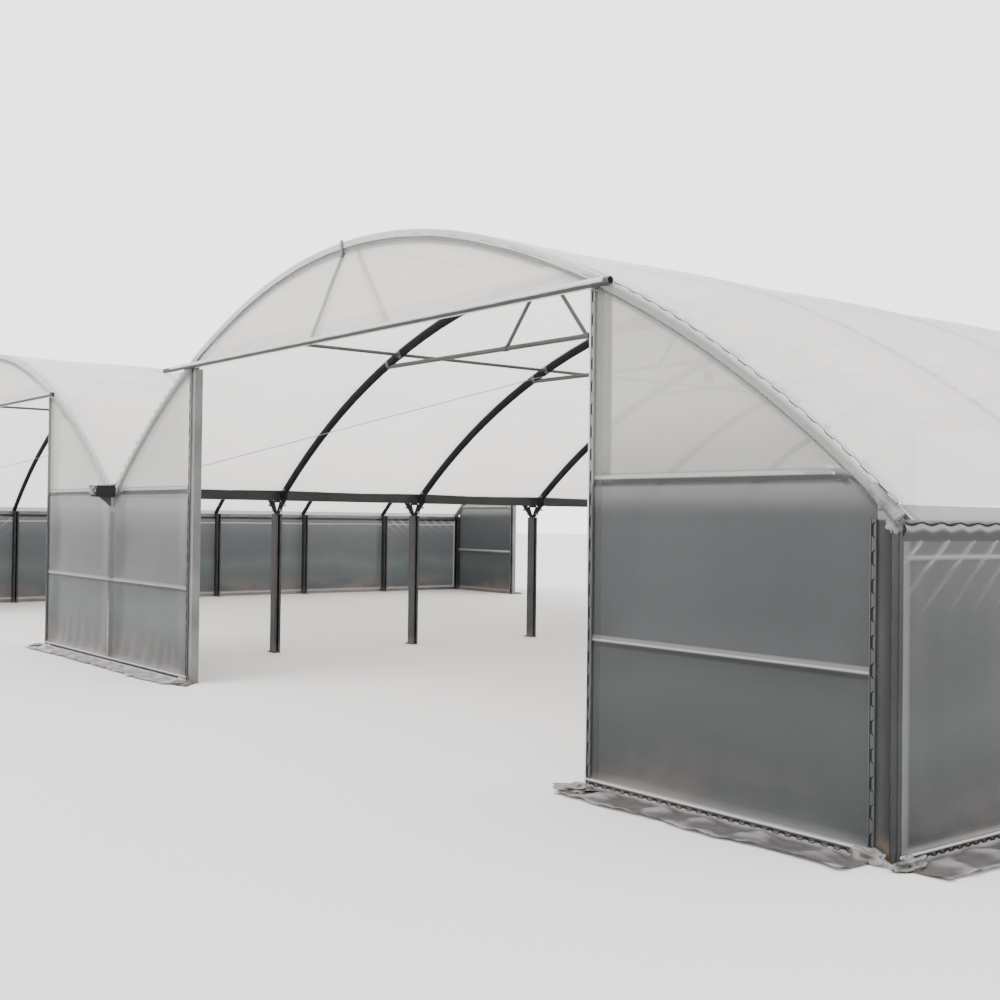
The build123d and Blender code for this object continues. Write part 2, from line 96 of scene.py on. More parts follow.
covered_edge = 2.77
bare_edge = 2.836
column_edge = 4.779
haunch_purlin_offset = 2.27
skirt_width = 0.34
tie_radius = 0.021
strut_foot = 0.54
strut_head = 0.034
header_long_end = 3.39
header_short_end = 2.965
bracket_half = 0.005
bay_length = 2.0
bay_count = 6
half_length = bay_length * bay_count / 2
frame_lines = [-half_length + bay_length * index for index in range(bay_count + 1)]
inner_lines = frame_lines[1:-1]
gable_hoop_line = gable_face - hoop_width / 2
half_film = 0.0015

# Spans, and directions with the names of the pieces there
span_centres = (half_span, -half_span)
hands = ((1, "right"), (-1, "left"))
gables = ((-1, "front"), (1, "back"))

# Film and wire, in metres
scallop_depth = 0.019
scallop_swing = 0.007
scallop_wave = 0.165
wire_wave = 0.135
base_wave = 0.075
base_bead_height = 0.055
hoop_fold = 0.054
hoop_fold_growth = 0.016
eave_crease_height = 1.465
# Height up to which the gable film is painted darker as shade
low_shade_line = 1.845

# Flat sizes of the sheets that don't follow from the frame
gable_skirts_length = 15.9
side_skirts_length = 24.2

# Spans of gable film: left edge, right edge
film_spans = (
    (half_span + covered_edge, half_span + column_edge),
    (covered_edge - half_span, half_span - bare_edge),
    (-half_span - column_edge, -half_span - bare_edge),
)

# Arch
crown_centre = crown_height - crown_radius
haunch_shift = (haunch_radius - crown_radius) * sin(crown_half_angle)
haunch_centre = crown_centre - (haunch_radius - crown_radius) * cos(crown_half_angle)
crown_run = crown_radius * crown_half_angle


def on_arch(run, out=0.0):
    """X and Z of the arch at a length along it from the crown, moved out by a distance."""
    side = 1 if run >= 0 else -1
    run = abs(run)
    if run <= crown_run:
        angle = run / crown_radius
        return side * (crown_radius + out) * sin(angle), crown_centre + (crown_radius + out) * cos(angle)
    angle = crown_half_angle + (run - crown_run) / haunch_radius
    reach = haunch_radius + out
    return side * (reach * sin(angle) - haunch_shift), haunch_centre + reach * cos(angle)


def run_at(distance):
    """Length along the arch from the crown out to a distance from the span's centre line."""
    if distance <= crown_radius * sin(crown_half_angle):
        return crown_radius * asin(distance / crown_radius)
    angle = asin((distance + haunch_shift) / haunch_radius)
    return crown_run + haunch_radius * (angle - crown_half_angle)


def arch_height(distance):
    """Height of the arch at a distance from the span's centre line."""
    return on_arch(run_at(abs(distance)))[1]


def cloud(x, y, z, scale):
    """Smooth noise from -1 to 1 that changes over about 1 / scale metres."""
    return noise.noise(Vector((x, y, z)) * scale)


def ease(value):
    """Value held from 0 to 1 with a soft start and end."""
    value = min(max(value, 0.0), 1.0)
    return value * value * (3 - 2 * value)


def bump_at(value, centre, spread):
    """Round bump of height 1 at the centre, gone past the spread."""
    share = abs(value - centre) / spread
    return 0.0 if share >= 1 else (1 - share * share) ** 2


# Shapes
def grid(across, along, place):
    """Flat grid whose points are put where place(u, v) says, with u and v from 0 to 1."""
    shape = bmesh.new()
    bmesh.ops.create_grid(shape, x_segments=across, y_segments=along, size=0.5)
    for vert in shape.verts:
        vert.co = place(vert.co.x + 0.5, vert.co.y + 0.5)
    return shape


def lattice(columns, rows, place):
    """Sheet with a point for each column and row, put where place(column, row) says."""
    across, along = len(columns) - 1, len(rows) - 1
    return grid(across, along, lambda u, v: place(columns[round(u * across)], rows[round(v * along)]))


def spaced(low, high, wide, lines=()):
    """Places from low to high: the lines themselves, and more between them no more than wide apart."""
    marks = sorted({low, high, *(line for line in lines if low < line < high)})
    places = []
    for first, last in zip(marks[:-1], marks[1:]):
        count = max(1, round((last - first) / wide + 0.45))
        places += [first + (last - first) * step / count for step in range(count)]
    return places + [high]


def paint(shape, look):
    """Stores what look(point) gives on each point: how near steel is, and the tone from dark to light."""
    touch = shape.verts.layers.float.new("touch")
    tone = shape.verts.layers.float.new("tone")
    for vert in shape.verts:
        vert[touch], vert[tone] = look(vert.co)
    return shape


def faced(shape, way):
    """Turns every face of an open sheet to look roughly along a direction."""
    shape.normal_update()
    turned = [face for face in shape.faces if face.normal.dot(way) < 0]
    bmesh.ops.reverse_faces(shape, faces=turned)
    return shape


def close_ends(shape):
    """Fills the open ends of a shape."""
    bmesh.ops.holes_fill(shape, edges=[edge for edge in shape.edges if edge.is_boundary], sides=0)


def rolled(steps, sides, place):
    """Grid rolled up into a tube with closed ends."""
    shape = grid(steps, sides, lambda u, v: place(u, 2 * pi * v))
    bmesh.ops.remove_doubles(shape, verts=shape.verts, dist=0.00002)
    close_ends(shape)
    bmesh.ops.recalc_face_normals(shape, faces=shape.faces)
    return shape


def line_at(points, u):
    """Place on a smooth line through points, and its direction there."""
    count = len(points) - 1
    at = min(int(u * count), count - 1)
    s = u * count - at
    a, b, c, d = (Vector(points[min(max(at + step, 0), count)]) for step in (-1, 0, 1, 2))
    place = b + ((c - a) * s + (2 * a - 5 * b + 4 * c - d) * s * s + (3 * b - a - 3 * c + d) * s ** 3) / 2
    way = ((c - a) + 2 * (2 * a - 5 * b + 4 * c - d) * s + 3 * (3 * b - a - 3 * c + d) * s * s) / 2
    return place, way


def tube(points, radius, steps=8, sides=10):
    """Tube along a smooth line through points; radius is a value, or radius(u, turn)."""

    def place(u, turn):
        here, way = line_at(points, u)
        steep = abs(way.z) >= 0.9 * way.length
        side = way.cross(Vector((0, 1, 0) if steep else (0, 0, 1))).normalized()
        up = side.cross(way).normalized()
        reach = radius(u, turn) if callable(radius) else radius
        return here + (side * cos(turn) + up * sin(turn)) * reach

    return rolled(steps, sides, place)


def lump(centre, size, seed, rough=0.5):
    """Crumpled bunch of film."""
    shape = bmesh.new()
    bmesh.ops.create_icosphere(shape, subdivisions=4, radius=1)
    for vert in shape.verts:
        way = vert.co.normalized()
        swell = 1 + rough * cloud(way.x + seed, way.y, way.z, 1.7)
        swell -= 0.5 * rough * abs(cloud(way.x, way.y + seed, way.z, 4.2))
        vert.co = Vector(centre) + Vector(size) * way * swell
    return shape


def block(low, high):
    """Box between two corners."""
    shape = bmesh.new()
    bmesh.ops.create_cube(shape, size=1)
    low, high = Vector(low), Vector(high)
    bmesh.ops.scale(shape, vec=high - low, verts=shape.verts)
    bmesh.ops.translate(shape, vec=(low + high) / 2, verts=shape.verts)
    return shape


def standing(place, way):
    """Matrix that puts a shape's Z axis along a direction, at a place."""
    return Matrix.Translation(place) @ Vector(way).to_track_quat("Z", "Y").to_matrix().to_4x4()


def bolt_head(size):
    """Hexagon head on a washer, standing on the XY plane."""
    shape = bmesh.new()
    washer = (12, size * 0.75, 0, size * 0.12)
    head = (6, size * 0.56, size * 0.12, size * 0.6)
    for segments, radius, low, high in (washer, head):
        bmesh.ops.create_cone(
            shape, cap_ends=True, segments=segments, radius1=radius, radius2=radius, depth=high - low,
            matrix=Matrix.Translation((0, 0, (low + high) / 2)),
        )
    return shape


def points_of(result):
    """The points among what an operator made."""
    return [item for item in result["geom"] if isinstance(item, bmesh.types.BMVert)]


def ring(outer, inner, length, sides=14):
    """Open ring round the Z axis."""
    shape = bmesh.new()
    bmesh.ops.create_circle(shape, cap_ends=False, segments=sides, radius=outer)
    inside = points_of(bmesh.ops.extrude_edge_only(shape, edges=shape.edges[:]))
    bmesh.ops.scale(shape, vec=(inner / outer, inner / outer, 1), verts=inside)
    moved = points_of(bmesh.ops.extrude_face_region(shape, geom=shape.faces[:]))
    bmesh.ops.translate(shape, vec=(0, 0, length), verts=moved)
    bmesh.ops.translate(shape, vec=(0, 0, -length / 2), verts=shape.verts)
    bmesh.ops.recalc_face_normals(shape, faces=shape.faces)
    return shape


def as_mesh(shape, name="part"):
    """Mesh from a shape, which is used up."""
    mesh = bpy.data.meshes.new(name)
    shape.to_mesh(mesh)
    shape.free()
    return mesh


def merged(shapes):
    """One shape from several."""
    whole = bmesh.new()
    for shape in shapes:
        part = as_mesh(shape)
        whole.from_mesh(part)
        bpy.data.meshes.remove(part)
    return whole


def copied(shape, matrices):
    """The shape repeated at each matrix."""
    part = as_mesh(shape)
    whole = bmesh.new()
    for matrix in matrices:
        before = len(whole.verts)
        whole.from_mesh(part)
        whole.verts.ensure_lookup_table()
        bmesh.ops.transform(whole, matrix=matrix, verts=whole.verts[before:])
    bpy.data.meshes.remove(part)
    bmesh.ops.recalc_face_normals(whole, faces=whole.faces)
    return whole


def prism(outline, travel):
    """Solid made by moving an outline along a straight line."""
    shape = bmesh.new()
    face = shape.faces.new([shape.verts.new(point) for point in outline])
    moved = points_of(bmesh.ops.extrude_face_region(shape, geom=[face]))
    bmesh.ops.translate(shape, verts=moved, vec=travel)
    bmesh.ops.recalc_face_normals(shape, faces=shape.faces)
    return shape


def cut_off(shape, point, normal):
    """Takes away what lies beyond the plane on its normal's side, and closes the cut."""
    everything = shape.verts[:] + shape.edges[:] + shape.faces[:]
    bmesh.ops.bisect_plane(shape, geom=everything, plane_co=point, plane_no=normal, clear_outer=True)
    close_ends(shape)


def along_arch(outline, centre, steps=10):
    """Solid made by spinning an outline of (out, y) points round the arch's three arcs."""
    past_eave = 4.99
    end_angle = crown_half_angle + (run_at(past_eave) - crown_run) / haunch_radius
    shape = bmesh.new()
    corners = []
    for out, y in outline:
        reach = haunch_radius + out
        x = centre + haunch_shift - reach * sin(end_angle)
        corners.append(shape.verts.new((x, y, haunch_centre + reach * cos(end_angle))))
    moving = [shape.faces.new(corners)]
    side_angle = end_angle - crown_half_angle
    arcs = (
        (centre + haunch_shift, haunch_centre, side_angle, steps + 4),
        (centre, crown_centre, 2 * crown_half_angle, steps),
        (centre - haunch_shift, haunch_centre, side_angle, steps + 4),
    )
    for x, z, angle, count in arcs:
        turned = bmesh.ops.spin(
            shape, geom=moving, cent=(x, 0, z), axis=(0, 1, 0), dvec=(0, 0, 0), angle=angle, steps=count,
            use_merge=False,
        )
        moving = turned["geom_last"]
    bmesh.ops.remove_doubles(shape, verts=shape.verts, dist=0.00001)
    valley_side = -1 if centre > 0 else 1
    cut_off(shape, (centre, 0, seat_height), (0, 0, -1))
    cut_off(shape, (centre + valley_side * (half_span - gutter_top_half), 0, 0), (valley_side, 0, 0))
    bmesh.ops.recalc_face_normals(shape, faces=shape.faces)
    return shape


def oval(out, y, depth, width, count=16):
    """Outline of an oval tube, as (out, y) points."""
    turns = [2 * pi * index / count for index in range(count)]
    return [(out + depth / 2 * cos(turn), y + width / 2 * sin(turn)) for turn in turns]


def add_piece(name, shape, finish, replaces=(), smooth=40):
    """Makes the shape an object that rides on the house; edges sharper than the angle smooth stay sharp."""
    mesh = as_mesh(shape, name)
    mesh.materials.append(finish)
    mesh.shade_smooth()
    mesh.set_sharp_from_angle(angle=radians(smooth))
    piece = bpy.data.objects.new(name, mesh)
    bpy.context.scene.collection.objects.link(piece)
    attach(piece, "root")
    if replaces:
        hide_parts(*replaces)
    return piece


# Finishes
def shaded(colour, share):
    """The colour made darker or lighter by a share."""
    return tuple(part * share for part in colour)


class Finish:
    """A material with helpers to join its nodes."""

    def __init__(self, name):
        self.material = bpy.data.materials.new(name)
        self.material.use_nodes = True
        self.tree = self.material.node_tree
        self.tree.nodes.clear()
        self.output = self.tree.nodes.new("ShaderNodeOutputMaterial")
        self.place = self.tree.nodes.new("ShaderNodeTexCoord").outputs["Object"]

    def node(self, kind, inputs=None, **settings):
        """Adds a node, sets its settings, and sets or joins its inputs."""
        made = self.tree.nodes.new(kind)
        for key, value in settings.items():
            setattr(made, key, value)
        for key, value in (inputs or {}).items():
            if isinstance(value, bpy.types.NodeSocket):
                self.tree.links.new(value, made.inputs[key])
            else:
                made.inputs[key].default_value = value
        return made

    def noise(self, scale, detail=4.0, stretch=(1, 1, 1), rough=0.55):
        """Noise over the piece, from 0 to 1, drawn out along the axes with a small stretch."""
        spread = self.node("ShaderNodeMapping", {"Vector": self.place, "Scale": stretch})
        made = self.node(
            "ShaderNodeTexNoise",
            {"Vector": spread.outputs[0], "Scale": scale, "Detail": detail, "Roughness": rough},
        )
        return made.outputs["Fac"]

    def ramp(self, value, stops):
        """Colours or greys by value: stops are (position, colour)."""
        made = self.node("ShaderNodeValToRGB", {"Fac": value})
        line = made.color_ramp
        while len(line.elements) < len(stops):
            line.elements.new(0.5)
        for element, (position, colour) in zip(line.elements, stops):
            element.position = position
            element.color = (*colour, 1) if hasattr(colour, "__len__") else (colour, colour, colour, 1)
        return made.outputs["Color"]

    def map_range(self, value, low, high, to_low, to_high, kind="LINEAR"):
        """The value moved from one range into another."""
        made = self.node(
            "ShaderNodeMapRange",
            {"Value": value, "From Min": low, "From Max": high, "To Min": to_low, "To Max": to_high},
            interpolation_type=kind,
        )
        return made.outputs[0]

    def math(self, operation, first, second):
        """Result of an operation on two values or sockets."""
        made = self.node("ShaderNodeMath", {0: first, 1: second}, operation=operation)
        return made.outputs[0]

    def unsigned(self, value):
        """The value without its sign."""
        return self.math("ABSOLUTE", value, 0.0)

    def attribute(self, name):
        """A value painted on the piece's points."""
        return self.node("ShaderNodeAttribute", attribute_name=name).outputs["Fac"]

    def blend(self, share, first, second, mode="MIX"):
        """Two colours mixed by a share."""
        made = self.node("ShaderNodeMix", data_type="RGBA", blend_type=mode)
        for key, value in ((0, share), (6, first), (7, second)):
            if isinstance(value, bpy.types.NodeSocket):
                self.tree.links.new(value, made.inputs[key])
            else:
                made.inputs[key].default_value = value if key == 0 else (*value, 1)
        return made.outputs[2]

    def axis(self, name):
        """The X, Y or Z coordinate, in metres."""
        return self.node("ShaderNodeSeparateXYZ", {0: self.place}).outputs[name]

    def bump(self, height, strength, distance):
        """Normals from a height."""
        made = self.node("ShaderNodeBump", {"Height": height, "Strength": strength, "Distance": distance})
        return made.outputs[0]

    def close(self, shader):
        """Joins the shader to the output and gives the material."""
        self.tree.links.new(shader, self.output.inputs["Surface"])
        return self.material


def steel(name, colour, metal=0.55, rough=0.42, dirt=0.5, at_gables=None, top=None, shine=0.5, outer=None):
    """Hot-dipped zinc: cloudy greys, small spangles, rain streaks and earth at the foot.

    top is a painted highlight for upper faces, outer a painted shade for the house's outer sides, and
    at_gables another colour for its gables.
    """
    f = Finish(name)
    cloudy = f.noise(2.3, 5)
    spangle = f.node("ShaderNodeTexVoronoi", {"Vector": f.place, "Scale": 90.0}).outputs["Color"]
    streak = f.noise(14, 3, (1, 1, 0.08))
    base = f.ramp(cloudy, ((0.3, shaded(colour, 0.72)), (0.7, shaded(colour, 1.22))))
    base = f.blend(0.10, base, f.node("ShaderNodeRGBToBW", {0: spangle}).outputs[0], "OVERLAY")
    base = f.blend(f.map_range(streak, 0.55, 0.75, 0, 0.35), base, shaded(colour, 0.6))
    # Painted highlight: faces that look up are made lighter.
    if top:
        up = f.node("ShaderNodeSeparateXYZ", {0: f.node("ShaderNodeTexCoord").outputs["Normal"]}).outputs["Z"]
        base = f.blend(f.map_range(up, 0.3, 0.5, 0, 1), base, top)
    # Painted shade: faces on the house's outer sides are made darker.
    if outer:
        across = f.unsigned(f.axis("X"))
        base = f.blend(f.map_range(across, 2 * half_span, 2 * half_span + 0.045, 0, 1), base, outer)
    if at_gables:
        ends = f.map_range(f.unsigned(f.axis("Y")), half_length - 0.3, half_length - 0.2, 0, 1)
        base = f.blend(ends, base, at_gables)
    foot = f.map_range(f.axis("Z"), 0.0, 0.16, dirt, 0)
    splashed = f.math("MULTIPLY", foot, f.ramp(f.noise(9), ((0.35, 0.2), (0.65, 1.0))))
    base = f.blend(splashed, base, (0.23, 0.16, 0.11))
    shader = f.node(
        "ShaderNodeBsdfPrincipled",
        {
            "Base Color": base,
            "Metallic": metal,
            "Roughness": f.map_range(cloudy, 0.3, 0.7, rough - 0.07, rough + 0.12),
            "Normal": f.bump(f.noise(55, 3), 0.12, 0.002),
            "Specular IOR Level": shine,
        },
    )
    return f.close(shader.outputs[0])


def darkened_below(f, base, density, height, cloudy, shade):
    """Colour and density of a film with painted shade on its lower part; shade is (top, softness, colour,
    density).
    """
    top, soft, low_shade, dense = shade
    lower = f.math(
        "MULTIPLY", f.map_range(height, top - 0.015, top + 0.015, 1, 0),
        f.map_range(height, top - soft, top, 1, 0.72, "SMOOTHSTEP"),
    )
    green = (low_shade[0] * 0.93, low_shade[1] * 1.02, low_shade[2] * 0.93)
    brownish = (low_shade[0] * 1.75, low_shade[1] * 1.25, low_shade[2] * 1.05)
    # The painted shade grows darker towards the foot, greenish part way down, with brownish patches low down.
    deep = f.ramp(
        f.map_range(f.math("ADD", height, f.map_range(cloudy, 0.3, 0.7, -0.12, 0.12)), 0, 1.9, 0, 1),
        (
            (0.08, shaded(low_shade, 0.8)), (0.2, shaded(green, 0.85)), (0.34, green),
            (0.47, shaded(low_shade, 0.82)), (0.7, shaded(low_shade, 0.92)), (0.95, low_shade),
        ),
    )
    low = f.map_range(height, 0.08, 0.42, 1, 0)
    patches = f.math("MULTIPLY", low, f.ramp(f.noise(1.1, 4, (1, 1, 2)), ((0.45, 0.0), (0.62, 0.75))))
    base = f.blend(lower, base, f.blend(patches, deep, brownish))
    return base, f.node("ShaderNodeMix", {0: lower, 2: density, 3: dense}).outputs[0]


def strutted(f, base, height, near):
    """Colour of the film over a doorway, with painted shadow lines where the crown struts show through."""
    across = f.math("SUBTRACT", f.unsigned(f.axis("X")), half_span)
    rise = f.map_range(height, header_height, crown_height, strut_foot + 0.05, strut_head)
    for way, share in ((1, 0.7), (-1, 0.14)):
        away = f.unsigned(f.math("ADD", across, f.math("MULTIPLY", rise, way)))
        clear = f.map_range(near, 0.2, 0.7, 1, 0)
        line = f.math("MULTIPLY", f.map_range(away, 0.022, 0.042, share, 0), clear)
        base = f.blend(line, base, (0.07, 0.075, 0.07))
    return base


def film(
    name, tint, cover, shade=None, through=0.55, crease=0.2, touch=0.5, gloss=0.3, light=None, struts=False
):
    """Milky film: part clear, part lit from behind, clearer where it lies on steel, splashed low down.

    cover is how dense it is, touch how dense on steel, shade its lower part painted darker as shade, and
    light its palest tone, the colour of its painted light.
    """
    f = Finish(name)
    cloudy = f.noise(0.8, 3)
    fine = f.noise(3.2, 5, (1, 1, 0.45))
    height = f.axis("Z")
    base = f.ramp(cloudy, ((0.3, shaded(tint, 0.95)), (0.7, tint)))
    density = f.map_range(fine, 0.3, 0.7, cover - 0.02, cover + 0.02)
    if shade:
        base, density = darkened_below(f, base, density, height, cloudy, shade)
    near = f.attribute("touch")
    if struts:
        base = strutted(f, base, height, near)
    tone = f.attribute("tone")
    density = f.node("ShaderNodeMix", {0: near, 2: density, 3: touch}).outputs[0]
    # Painted tone: below 0 it paints shade towards near black, above 0 it paints light towards the palest
    # tone.
    base = f.blend(f.map_range(tone, -1, 0, 0.9, 0), base, (0.02, 0.021, 0.023))
    base = f.blend(f.map_range(tone, 0, 1, 0, 1), base, light or tint)
    specks = f.math("MULTIPLY", f.map_range(height, 0.0, 0.12, 0.12, 0), f.noise(12))
    base = f.blend(specks, base, (0.42, 0.33, 0.27))
    creases = f.bump(f.noise(1.6, 6, (1, 0.5, 0.8)), crease, 0.05)
    front = f.node(
        "ShaderNodeBsdfPrincipled", {"Base Color": base, "Roughness": gloss, "Normal": creases, "IOR": 1.45}
    )
    back = f.node("ShaderNodeBsdfTranslucent", {"Color": base, "Normal": creases})
    clear = f.node("ShaderNodeBsdfTransparent", {"Color": (0.97, 0.975, 0.98, 1)})
    lit = f.node("ShaderNodeMixShader", {0: through, 1: front.outputs[0], 2: back.outputs[0]})
    whole = f.node("ShaderNodeMixShader", {0: density, 1: clear.outputs[0], 2: lit.outputs[0]})
    return f.close(whole.outputs[0])


def plain(name, colour, metal, rough, grain=60.0, shine=0.5):
    """Small fittings: one colour with slight grain."""
    f = Finish(name)
    base = f.ramp(f.noise(grain, 3), ((0.3, shaded(colour, 0.8)), (0.7, colour)))
    shader = f.node(
        "ShaderNodeBsdfPrincipled",
        {
            "Base Color": base, "Metallic": metal, "Specular IOR Level": shine,
            "Roughness": f.map_range(f.noise(8), 0.3, 0.7, rough, rough + 0.15),
        },
    )
    return f.close(shader.outputs[0])


finishes = {}

# CAD pieces that stay as they are, by finish
kept_nodes = {
    "zinc": (
        "right_eave_rail", "left_eave_rail", "side_base_rails", "front_base_rails", "back_base_rails",
        "front_door_posts", "back_door_posts",
    ),
    "shaded_zinc": (
        "valley_columns", "column_head_plates", "column_foot_plates", "front_headers", "back_headers",
    ),
    "shaded_corner_zinc": ("right_columns", "left_columns"),
    "bar": (
        "right_hoop_ties", "left_hoop_ties", "right_crown_struts", "left_crown_struts", "ridge_purlins",
        "haunch_purlins",
    ),
    "hoop": ("valley_brackets",),
    "rail": ("front_gable_rails", "back_gable_rails"),
    "gutter": ("valley_gutter",),
    "cable": ("wind_brace_cables",),
}


# Settings
class GreenhouseFilm(bpy.types.PropertyGroup):
    """Sizes and colours of the film."""

    sag: FloatProperty(
        name="Sag", description="How far the film hangs in between hoops", default=0.012, min=0, unit="LENGTH"
    )
    billow: FloatProperty(
        name="Billow", description="How far the gable film blows in", default=0.045, min=0.001, unit="LENGTH"
    )
    roof_colour: FloatVectorProperty(
        name="Roof film", description="Colour of the roof film", subtype="COLOR", size=3,
        default=(0.89, 0.87, 0.85),
    )
    wall_colour: FloatVectorProperty(
        name="Wall film", description="Colour of the gable film", subtype="COLOR", size=3,
        default=(0.42, 0.415, 0.4),
    )
    # Colour of the painted shade on the lower gable film
    low_shade_colour: FloatVectorProperty(
        name="Film shade low down", description="Colour of the gable film low down", subtype="COLOR", size=3,
        default=(0.05, 0.0545, 0.058),
    )


class GreenhouseSteel(bpy.types.PropertyGroup):
    """Sizes and colours of the steelwork and fittings."""

    wire: FloatProperty(
        name="Wire", description="Thickness of the film's wire", default=0.006, min=0.001, unit="LENGTH"
    )
    bolt: FloatProperty(
        name="Bolt", description="Width of a bolt's head", default=0.019, min=0.005, unit="LENGTH"
    )
    zinc_colour: FloatVectorProperty(
        name="Zinc", description="Colour of columns and rails", subtype="COLOR", size=3,
        default=(0.16, 0.164, 0.162),
    )
    # The inner hoops' colour is painted near black, as shade on hoops lit from behind.
    shaded_hoop_colour: FloatVectorProperty(
        name="Hoops", description="Colour of the inner hoops", subtype="COLOR", size=3,
        default=(0.014, 0.016, 0.02),
    )


class GreenhouseStage(bpy.types.PropertyGroup):
    """Light and floor."""

    light: FloatProperty(name="Light", description="Strength of the sky", default=3.6, min=0)
    sun: FloatProperty(name="Sun", description="Strength of the soft sun", default=1.9, min=0)
    floor_colour: FloatVectorProperty(
        name="Floor", description="Colour of the floor", subtype="COLOR", size=3, default=(0.62, 0.61, 0.60)
    )
    focal_length: FloatProperty(
        name="Focal length", description="Focal length of the camera", default=45.14,
        subtype="DISTANCE_CAMERA",
    )


class GREENHOUSE_OT_finishes(bpy.types.Operator):
    """Makes the finishes and gives them to the steel pieces that stay"""

    bl_idname = "greenhouse.finishes"
    bl_label = "Finishes"

    def steels(self, settings):
        """Finishes of the steel pieces and fittings."""
        zinc = tuple(settings.zinc_colour)
        bar = (zinc[0] * 0.36, zinc[1] * 0.43, zinc[2] * 0.4)
        hoop = tuple(settings.shaded_hoop_colour)
        # Painted highlight on the hoops' upper faces.
        hoop_painted_highlight = (0.16, 0.16, 0.16)
        return {
            "zinc": steel("zinc", zinc),
            "shaded_zinc": steel("shaded zinc", shaded(zinc, 0.34), metal=0.2, shine=0.15),
            # Corner columns: a darker copy of the zinc as painted shade, darker still on their outer sides.
            "shaded_corner_zinc": steel(
                "shaded corner zinc", shaded(zinc, 0.22), metal=0.15, shine=0.15, outer=shaded(zinc, 0.12)
            ),
            "bar": steel("bar zinc", bar, metal=0.35, dirt=0, at_gables=zinc),
            "hoop": steel("hoop steel", hoop, metal=0.0, rough=0.6, dirt=0, top=hoop_painted_highlight, shine=0.06),
            "gable_hoop": steel("gable hoop steel", shaded(zinc, 0.8), dirt=0),
            "gutter": steel("gutter steel", shaded(zinc, 0.16), metal=0.3, dirt=0),
            "rail": steel("rail zinc", shaded(zinc, 2.0), metal=0.5, rough=0.3),
            "wire": plain("wire", (0.01, 0.01, 0.012), 0.0, 0.55, shine=0.08),
            "bolt": plain("bolt zinc", (0.3, 0.3, 0.29), 0.8, 0.35),
            "clamp": plain("clamp zinc", (0.1, 0.105, 0.1), 0.5, 0.4),
            "cable": plain("cable steel", (0.22, 0.22, 0.22), 0.6, 0.4),
        }

    def films(self, settings):
        """Finishes of the films; the painted shade on the lower part of each reaches up to the height that
        starts its shade.
        """
        roof = tuple(settings.roof_colour)
        wall = tuple(settings.wall_colour)
        low_shade = tuple(settings.low_shade_colour)
        pale = (0.86, 0.86, 0.85)
        return {
            "roof": film("roof film", roof, 0.95, touch=0.22),
            "lunette": film("lunette film", shaded(roof, 0.84), 0.95, touch=0.3, struts=True),
            "wall": film(
                "wall film", wall, 0.94, (low_shade_line, 0.2, low_shade, 0.998), through=0.4, gloss=0.22, light=pale,
                touch=0.2,
            ),
            "valley_wall": film(
                "valley wall film", wall, 0.92, (low_shade_line, 0.5, shaded(low_shade, 1.5), 0.98), through=0.45,
                gloss=0.26, light=pale, touch=0.4,
            ),
            "side": film(
                "side film", shaded(wall, 0.3), 0.97, (1.6, 0.45, shaded(low_shade, 1.3), 0.995), gloss=0.25,
                crease=0.4, light=pale,
            ),
            "skirt": film(
                "skirt film", (0.045, 0.044, 0.048), 0.97, through=0.1, crease=0.8, light=(0.62, 0.61, 0.61)
            ),
            "lined": film(
                "lined channel", shaded(wall, 0.45), 1.0, (low_shade_line, 0.16, low_shade, 1.0), through=0.05,
                crease=0.05, light=pale,
            ),
            "hem": film("folded film", (0.6, 0.59, 0.585), 0.96, through=0.2, crease=0.7),
            "bunch": film(
                "bunched film", (0.07, 0.07, 0.069), 0.97, through=0.1, crease=0.9, light=(0.26, 0.26, 0.255)
            ),
        }

    def execute(self, context):
        finishes.update(self.steels(context.scene.greenhouse_steel))
        finishes.update(self.films(context.scene.greenhouse_film))
        for finish, names in kept_nodes.items():
            for name in names:
                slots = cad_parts[name].data.materials
                slots.clear()
                slots.append(finishes[finish])
        return {"FINISHED"}


class GREENHOUSE_OT_hoops(bpy.types.Operator):
    """Rolls the oval hoops of both spans"""

    bl_idname = "greenhouse.hoops"
    bl_label = "Hoops"

    def execute(self, context):
        for name, centres, lines, finish in (
            ("right_hoops", (half_span,), inner_lines, "hoop"),
            ("left_hoops", (-half_span,), inner_lines, "hoop"),
            ("front_gable_hoops", span_centres, (-gable_hoop_line,), "gable_hoop"),
            ("back_gable_hoops", span_centres, (gable_hoop_line,), "gable_hoop"),
        ):
            shapes = [
                along_arch(oval(-hoop_depth / 2, line, hoop_depth, hoop_width), centre)
                for centre in centres
                for line in lines
            ]
            add_piece(f"{name}_rolled", merged(shapes), finishes[finish], (name,))
        return {"FINISHED"}


